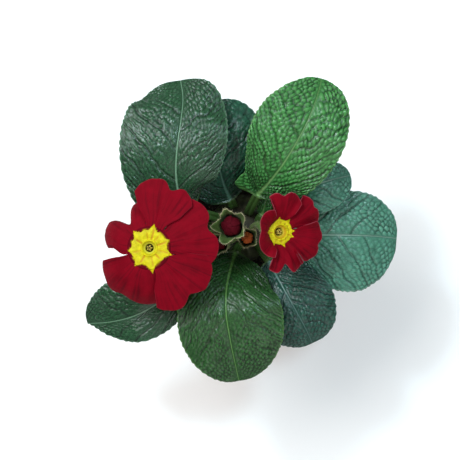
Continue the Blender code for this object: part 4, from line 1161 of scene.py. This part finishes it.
def make_stem(name, plant, floor, axis, seed, finish):
    """A hairy stem that opens into a ribbed cup with five pointed sepals."""
    reach, depth, flare, peak = plant["calyx"]
    rng = np.random.default_rng(seed)
    foot = floor - axis * CUP_FLOOR
    to_foot = [tuple(foot - axis * 3.5), tuple(foot)]
    spine = spine_from_crown(plant, plant["stem"] + to_foot, (0, 1, 0))
    sides, stem_rows = 80, 44
    angle = math.tau * np.arange(sides) / sides
    rows, edge, up_share, inner = [], [], [], []
    for i in range(stem_rows):
        place, forward, _, _ = (v[0] for v in spine.at([spine.total * i / (stem_rows - 1)]))
        forward = axis if i == stem_rows - 1 else forward
        across, beside = ring_frame(forward)
        radius = STEM_RADIUS * (1 + 0.05 * np.sin(5 * angle + i * 0.12) + 0.04 * rng.normal())
        rows.append(ring(place, radius, angle, across, beside))
        edge.append(np.zeros(sides))
        up_share.append(np.full(sides, i / stem_rows * 0.6))
        inner.append(np.zeros(sides))
    across, beside = ring_frame(axis)
    from_peak = np.abs((angle / math.tau * 5) % 1 - 0.5) * 2
    longer = rng.uniform(0.65, 1.15, 5)[(angle / math.tau * 5).astype(int) % 5]
    ragged = 0.8 * lattice_noise(angle * 7, angle * 0 + seed, 17)
    ragged = ragged + 0.4 * lattice_noise(angle * 17, angle * 0 + seed, 18)
    height = depth + 1.0 + longer * peak * (1 - from_peak) ** 0.68 + ragged
    flared = np.interp(height, (depth, depth + 1 + peak), (0.97, flare))
    narrow = TUBE_RADIUS + 0.8
    rib = 0.28 * np.exp(-((1 - from_peak) / 0.18 - 1 / 0.18) ** 2)
    rib = rib + 0.16 * np.exp(-(from_peak / 0.3) ** 2)
    outside, inside = np.linspace(0.06, 1.0, CUP_ROWS), np.linspace(1.0, 0.24, 22)
    for wall, levels in ((0.0, outside), (CALYX_WALL, inside)):
        for level in levels:
            h = height * level
            radius = np.interp(h, (0.0, 1.0, 3.5, depth),
                               (STEM_RADIUS, narrow, reach * 0.86, reach * 0.95))
            radius = radius + smoothstep((h - depth) / (1 + peak)) * reach * (flared - 0.95)
            curl = 0.5 * smoothstep((level - 0.9) / 0.1) * (1 - from_peak)
            radius = radius + rib * smoothstep(h / 3) * smoothstep((1 - level) / 0.2) + curl
            radius = radius - wall * np.clip(1.25 - level, 0.3, 1.0)
            lift = h if wall == 0 else np.maximum(h, CUP_FLOOR)
            rows.append(ring(foot, radius, angle, across, beside) + np.outer(lift, axis))
            edge.append(smoothstep((h - (height - 0.6 - 0.3 * ragged)) / 0.45))
            up_share.append(np.full(sides, 0.6 + 0.4 * level))
            # The inner mark lays painted shade inside the cup, more of it deeper down
            inner.append(np.full(sides, float(wall > 0) * smoothstep((1.02 - level) / 0.2)))
    grid = np.array(rows)
    faces = grid_faces(len(rows), sides, wrap=True) + end_caps(len(rows), sides)
    picks, outward = [], []
    rim_row = stem_rows + CUP_ROWS - 1
    for _ in range(plant.get("hairs", HAIRS)):
        r = rim_row if rng.uniform() < 0.34 else int(rng.integers(int(stem_rows * 0.3), rim_row))
        s = int(rng.integers(0, sides))
        centre = grid[r].mean(0)
        picks.append(grid[r, s])
        outward.append(unit(grid[r, s] - centre) + (axis * 0.7 if r == rim_row else 0))
    hair_points, hair_faces = hairs(picks, outward, rng, 0.85, 0.055)
    of_stem = dict(edge=np.concatenate(edge), share=np.concatenate(up_share),
                   inner=np.concatenate(inner))
    ones = np.ones(len(hair_points))
    of_hairs = dict(edge=ones, share=ones, inner=ones * 0)
    points, faces, marks = joined([(grid.reshape(-1, 3), faces, of_stem),
                                   (hair_points, hair_faces, of_hairs)])
    return piece_from("hairy_" + name, points, faces, finish, name, marks)


def make_bud_petals(name, bud, axis, seed, finish):
    """Petals furled round each other in a pointed barrel, each lapping over the next."""
    sides, rows = 150, 64
    angle = math.tau * np.arange(sides) / sides
    shares, widths = zip(*FURL_LEVELS)
    across, beside = ring_frame(axis)
    foot = np.array(bud["tip"]) - axis * bud["petal_length"]
    grid, fold = [], []
    for share in np.linspace(0, 1, rows):
        width = np.interp(share, np.array(shares), np.array(widths))
        width = 0.5 * width + 0.5 * np.interp(np.clip(share + 0.05, 0, 1), shares, widths)
        lap = (angle / math.tau * 5 + 0.9 * share ** 2) % 1.0
        step = smoothstep(lap / 0.12) * (1 - lap)
        radius = bud["girth"] * width * (0.86 + 0.17 * step * smoothstep(share / 0.3))
        radius = radius + 0.06 * lattice_noise(angle * 9, angle * 0 + share * 5, seed)
        turn = angle + math.radians(FURL_TWIST * share)
        sunk = 0.9 * smoothstep((share - 0.9) / 0.1) * (1 - step)
        place = foot + axis * (share * bud["petal_length"])
        grid.append(ring(place, radius, turn, across, beside) - np.outer(sunk * 0.4, axis))
        fold.append(np.exp(-(np.minimum(lap, 1 - lap) / 0.06) ** 2))
    faces = grid_faces(rows, sides, wrap=True) + end_caps(rows, sides)
    fold = np.concatenate(fold)
    # Painted shade: streak falls to 0 at each lap, laying the dark coat where one petal tucks under
    # the next; rim makes the lapping edge a little paler
    marks = dict(rim=fold * 0.4, streak=1 - fold, under=fold * 0,
                 star=fold * 0, crease=fold * 0, throat=fold * 0)
    points = np.array(grid).reshape(-1, 3)
    return piece_from("furled_" + name, points, faces, finish, name, marks)


def make_flowers(finishes):
    """Both open flowers: stem and calyx, petals, eye and anthers."""
    for seed, (name, flower) in enumerate(FLOWERS.items()):
        axis = face_turn(flower["lean"], flower["lean_to"]) @ UP
        floor = np.array(flower["face"]) - axis * (TUBE_LENGTH + 0.6)
        make_stem(name + "_stem", flower, floor, axis, 40 + seed, finishes["stem"])
        make_corolla(name + "_petals", flower, 50 + 60 * seed, finishes["petal"])
        make_eye(name + "_eye", flower, 60 + seed, finishes["eye"])
        make_anthers(name + "_anthers", flower, 70 + seed, finishes["anther"])


def make_buds(finishes):
    """The three buds: stem and calyx, and furled petals."""
    for seed, (name, bud) in enumerate(BUDS.items()):
        axis = unit(np.array(bud["tip"]) - np.array(bud["stem"][-1]))
        floor = np.array(bud["tip"]) - axis * (bud["petal_length"] + 0.6)
        make_stem(name + "_stem", bud, floor, axis, 80 + seed, finishes["stem"])
        make_bud_petals(name + "_petals", bud, axis, 90 + seed, finishes[bud["finish"]])


# Pot, compost and crown

def inner_radius(height):
    """The pot's inner radius at a height."""
    return POT_BASE_RADIUS - POT_WALL + (POT_TOP_RADIUS - POT_BASE_RADIUS) * height / POT_HEIGHT


def turned_solid(profile, sides, shape=None):
    """A profile of (radius, height) turned about Z, both its ends on the axis."""
    angle = math.tau * np.arange(sides) / sides
    middle = np.array(profile[1:-1], float)
    radius = middle[:, :1] * np.ones(sides)
    height = middle[:, 1:] * np.ones(sides)
    if shape:
        radius, height = shape(radius, height, angle[None, :] * np.ones(radius.shape))
    grid = np.stack((radius * np.cos(angle), radius * np.sin(angle), height), -1)
    count = grid.shape[0] * sides
    points = np.concatenate((grid.reshape(-1, 3), [(0, 0, profile[0][1]), (0, 0, profile[-1][1])]))
    faces = grid_faces(grid.shape[0], sides, wrap=True)
    for s in range(sides):
        t = (s + 1) % sides
        faces.append((count, t, s))
        faces.append((count - sides + s, count - sides + t, count + 1))
    return points, faces


def rounded_profile(profile, steps=3, reach=0.45):
    """The same profile with each of its corners eased."""
    profile = [np.array(p, float) for p in profile]
    eased = [profile[0]]
    for before, corner, after in zip(profile, profile[1:], profile[2:]):
        shorter = min(np.linalg.norm(corner - before), np.linalg.norm(after - corner))
        ease = min(reach, 0.4 * shorter)
        first, last = corner + unit(before - corner) * ease, corner + unit(after - corner) * ease
        for t in np.linspace(0, 1, steps):
            eased.append(first * (1 - t) ** 2 + corner * 2 * t * (1 - t) + last * t * t)
    return eased + [profile[-1]]


def make_pot(finish):
    """A round 9 cm plastic pot: stepped rim, recessed ring of drain holes, thin wall."""
    top = POT_TOP_RADIUS
    rim_low = POT_HEIGHT - RIM_HEIGHT
    under_rim = POT_BASE_RADIUS + (top - POT_BASE_RADIUS) * rim_low / POT_HEIGHT
    rim = top + RIM_OVERHANG
    over_channel = CHANNEL_HEIGHT + POT_FLOOR
    profile = [
        (0, 0), (DISC_RADIUS, 0), (CHANNEL_INNER, CHANNEL_HEIGHT), (CHANNEL_OUTER, CHANNEL_HEIGHT),
        (FOOT_INNER, 0), (POT_BASE_RADIUS - POT_EDGE, 0), (POT_BASE_RADIUS, POT_EDGE),
        (under_rim, rim_low), (rim - 0.3, rim_low + 0.5), (rim, POT_HEIGHT - POT_EDGE),
        (rim - 0.6, POT_HEIGHT), (top - POT_WALL + 0.5, POT_HEIGHT),
        (top - POT_WALL, POT_HEIGHT - 0.5), (inner_radius(4.6), 4.6),
        (FOOT_INNER + 1.6, POT_FLOOR), (FOOT_INNER + 0.6, POT_FLOOR), (CHANNEL_OUTER, over_channel),
        (CHANNEL_INNER, over_channel), (DISC_RADIUS - 0.8, POT_FLOOR), (0, POT_FLOOR)]
    points, faces = turned_solid(rounded_profile(profile), POT_SIDES)
    pot = piece_from("moulded_pot", points, faces, finish, "pot", smooth=False)
    cutters = bpy.data.collections.new("drain_cutters")
    bpy.context.scene.collection.children.link(cutters)
    for i in range(DRAIN_HOLES):
        angle = math.tau * (i + 0.5) / DRAIN_HOLES
        middle = (DRAIN_CIRCLE * math.cos(angle) * MM, DRAIN_CIRCLE * math.sin(angle) * MM, 2 * MM)
        bpy.ops.mesh.primitive_cylinder_add(
            vertices=32, radius=DRAIN_RADIUS * MM, depth=12 * MM, location=middle)
        cutter = bpy.context.object
        for holder in list(cutter.users_collection):
            holder.objects.unlink(cutter)
        cutters.objects.link(cutter)
    holes = pot.modifiers.new("drain_holes", "BOOLEAN")
    holes.operation = "DIFFERENCE"
    holes.operand_type = "COLLECTION"
    holes.collection = cutters
    holes.solver = "MANIFOLD"
    graph = bpy.context.evaluated_depsgraph_get()
    cut_mesh = bpy.data.meshes.new_from_object(pot.evaluated_get(graph))
    pot.modifiers.clear()
    pot.data = cut_mesh
    cut_mesh.shade_smooth()
    cut_mesh.set_sharp_from_angle(angle=math.radians(35))
    for cutter in list(cutters.objects):
        bpy.data.objects.remove(cutter, do_unlink=True)
    bpy.data.collections.remove(cutters)


def crumb(middle, size, rng):
    """An uneven grain of peat."""
    corners = np.array([(1, 0, 0), (-1, 0, 0), (0, 1, 0), (0, -1, 0), (0, 0, 1), (0, 0, -1)], float)
    spun = np.linalg.qr(rng.normal(size=(3, 3)))[0]
    corners = (corners * rng.uniform(0.55, 1.2, (6, 1)) * rng.uniform(0.6, 1.1, 3)) @ spun
    faces = [(0, 2, 4), (2, 1, 4), (1, 3, 4), (3, 0, 4), (2, 0, 5), (1, 2, 5), (3, 1, 5), (0, 3, 5)]
    if np.linalg.det(spun) < 0:
        faces = [face[::-1] for face in faces]
    return np.asarray(middle) + corners * size, faces


def fibre(start, rng, length, width):
    """A short bent thread of peat fibre, three-sided."""
    heading = rng.uniform(0, math.tau)
    points, faces = [], []
    place = np.array(start, float)
    steps = 5
    for step in range(steps):
        forward = np.array((math.cos(heading), math.sin(heading), rng.normal(0, 0.16)))
        across = np.array((-math.sin(heading), math.cos(heading), 0.0))
        for turn in THREE_SIDES:
            points.append(place + (across * math.cos(turn) + UP * math.sin(turn)) * width)
        place = place + forward * length / steps
        heading += rng.normal(0, 0.35)
    for step in range(steps - 1):
        for s in range(3):
            a, b = step * 3 + s, step * 3 + (s + 1) % 3
            faces.append((a, b, b + 3, a + 3))
    faces += [(2, 1, 0), (3 * steps - 3, 3 * steps - 2, 3 * steps - 1)]
    return points, faces


def make_compost(finish):
    """Peaty compost pressed in to the pot: a lumpy top with loose crumbs and fibres on it."""
    rng = np.random.default_rng(8)
    bevel = COMPOST_LOW + 1.0
    wall, foot = inner_radius(70) - COMPOST_GAP, inner_radius(bevel) - COMPOST_GAP
    profile = [(0, COMPOST_LOW), (foot - 1, COMPOST_LOW), (foot, bevel), (wall, COMPOST_EDGE)]
    profile += [(r, COMPOST_TOP + 1 - r / wall) for r in np.linspace(wall - 0.4, 16.0, 40)]
    profile += CROWN_PIT

    def lumps(radius, height, angle):
        x, y = radius * np.cos(angle), radius * np.sin(angle)
        coarse = 0.8 * lattice_noise(x / 5 + 30, y / 5 + 30, 3)
        coarse = coarse + 0.4 * lattice_noise(x / 1.7 + 30, y / 1.7 + 30, 4)
        on_top = smoothstep((height - 69.8) / 0.8)
        return radius, height + coarse * on_top

    points, faces = turned_solid(profile, 180, lumps)
    parts = [(points, faces, dict(tone=np.full(len(points), 0.3)))]
    for _ in range(CRUMBS):
        reach, bearing = math.sqrt(rng.uniform(15 ** 2, 39.0 ** 2)), rng.uniform(0, math.tau)
        size = rng.uniform(0.25, 1.0) if rng.uniform() < 0.85 else rng.uniform(1.0, 1.8)
        middle = (reach * math.cos(bearing), reach * math.sin(bearing), 71.6 + 0.4 * size)
        grain, grain_faces = crumb(middle, size, rng)
        parts.append((grain, grain_faces, dict(tone=np.full(6, rng.uniform(0, 1)))))
    for _ in range(FIBRES):
        reach, bearing = math.sqrt(rng.uniform(16 ** 2, 37.0 ** 2)), rng.uniform(0, math.tau)
        start = (reach * math.cos(bearing), reach * math.sin(bearing), 72.2)
        thread, thread_faces = fibre(start, rng, rng.uniform(2, 6), 0.12)
        parts.append((thread, thread_faces, dict(tone=np.full(len(thread), 0.9))))
    points, faces, marks = joined(parts)
    piece_from("peaty_compost", points, faces, finish, "compost", marks, smooth=False)


def make_crown(finish):
    """The rootstock: short, scarred by the stalks of older leaves."""
    fine = [CROWN_PROFILE[0]]
    for (r0, h0), (r1, h1) in zip(CROWN_PROFILE[1:-1], CROWN_PROFILE[2:-1]):
        fine += [(r0 + (r1 - r0) * t, h0 + (h1 - h0) * t) for t in np.linspace(0, 1, 9)[:-1]]
    fine += [CROWN_PROFILE[-2], (4.0, 76.6), CROWN_PROFILE[-1]]

    def scars(radius, height, angle):
        rough = lattice_noise(angle * 12 / math.tau * 2, height / 3.2, 12) * 0.5
        rough = rough + lattice_noise(angle * 60 / math.tau, height / 1.1, 13) * 0.2
        scarred = radius + (rough - 0.35) * smoothstep(radius / 6)
        return scarred, height + 0.3 * rough * smoothstep((radius - 2) / 4)

    points, faces = turned_solid(fine, 120, scars)
    piece_from("scarred_crown", points, faces, finish, "crown")


# Room

def make_floor():
    """A plain pale floor, far larger than the plant: matte paper, so no glare and a soft shadow."""
    bpy.ops.mesh.primitive_plane_add(size=6.0, location=(0, 0, -0.0002))
    floor = bpy.context.object
    floor.name = "pale_floor"
    made, _, shader, _ = new_material("matte_white_paper")
    shader.inputs["Base Color"].default_value = colour("#F6F6F6")
    shader.inputs["Roughness"].default_value = 0.9
    floor.data.materials.append(made)


def make_light(name, size, energy, at, towards, tint):
    """A square soft lamp that faces a point; places and size in metres."""
    lamp = bpy.data.lights.new(name, "AREA")
    lamp.size = size
    lamp.energy = energy
    lamp.color = tint
    holder = bpy.data.objects.new(name, lamp)
    bpy.context.scene.collection.objects.link(holder)
    holder.location = at
    holder.rotation_euler = (Vector(towards) - Vector(at)).to_track_quat("-Z", "Y").to_euler()


def make_room():
    """The floor, two softboxes and two cool window panes that put the glints on the leaves."""
    make_floor()
    leaves = (0, 0, 0.1)
    make_light("softbox_left", 0.7, 9.5, (-0.5, 0.4, 0.95), leaves, SOFTBOX_TINT)
    make_light("softbox_front", 0.9, 4.5, (0.3, -0.7, 0.8), leaves, SOFTBOX_TINT)
    make_light("window_left", 0.11, 3.8, (-0.34, 0.42, 0.9), leaves, WINDOW_TINT)
    make_light("window_right", 0.11, 2.8, (0.36, 0.34, 0.9), leaves, WINDOW_TINT)
    world = bpy.data.worlds.new("soft_white_room")
    bpy.context.scene.world = world
    world.use_nodes = True
    world.node_tree.nodes["Background"].inputs[0].default_value = (0.93, 0.97, 1.0, 1)
    world.node_tree.nodes["Background"].inputs[1].default_value = 0.34


def make_camera():
    """The photo's camera, straight above the plant."""
    data = bpy.data.cameras.new("camera")
    data.sensor_fit = "HORIZONTAL"
    data.angle = 2 * math.atan(PHOTO_PIXELS / 2 / FOCAL_PIXELS)
    camera = bpy.data.objects.new("camera", data)
    bpy.context.scene.collection.objects.link(camera)
    camera.location = tuple(c * MM for c in CAMERA_AT)
    bpy.context.scene.camera = camera


def make_plant_and_pot():
    """Flowers, buds, pot, compost and crown, each in its own finish."""
    finishes = dict(
        stem=stem_material(),
        petal=petal_material("velvety_crimson_petal", "#5E000E", "#740013", "#A8505C"),
        bud=petal_material("furled_dark_crimson_petal", "#2C0208", "#4A0612", "#7A2C3A"),
        orange_bud=petal_material("furled_orange_red_petal", "#7E2A16", "#B05A2C", "#C08A5C"),
        eye=eye_material(),
        anther=anther_material())
    make_flowers(finishes)
    make_buds(finishes)
    make_pot(pot_material())
    make_compost(compost_material())
    make_crown(crown_material())


bpy.context.scene.view_settings.view_transform = "Standard"
make_camera()
make_room()
make_leaves()
make_plant_and_pot()
bpy.context.view_layer.update()
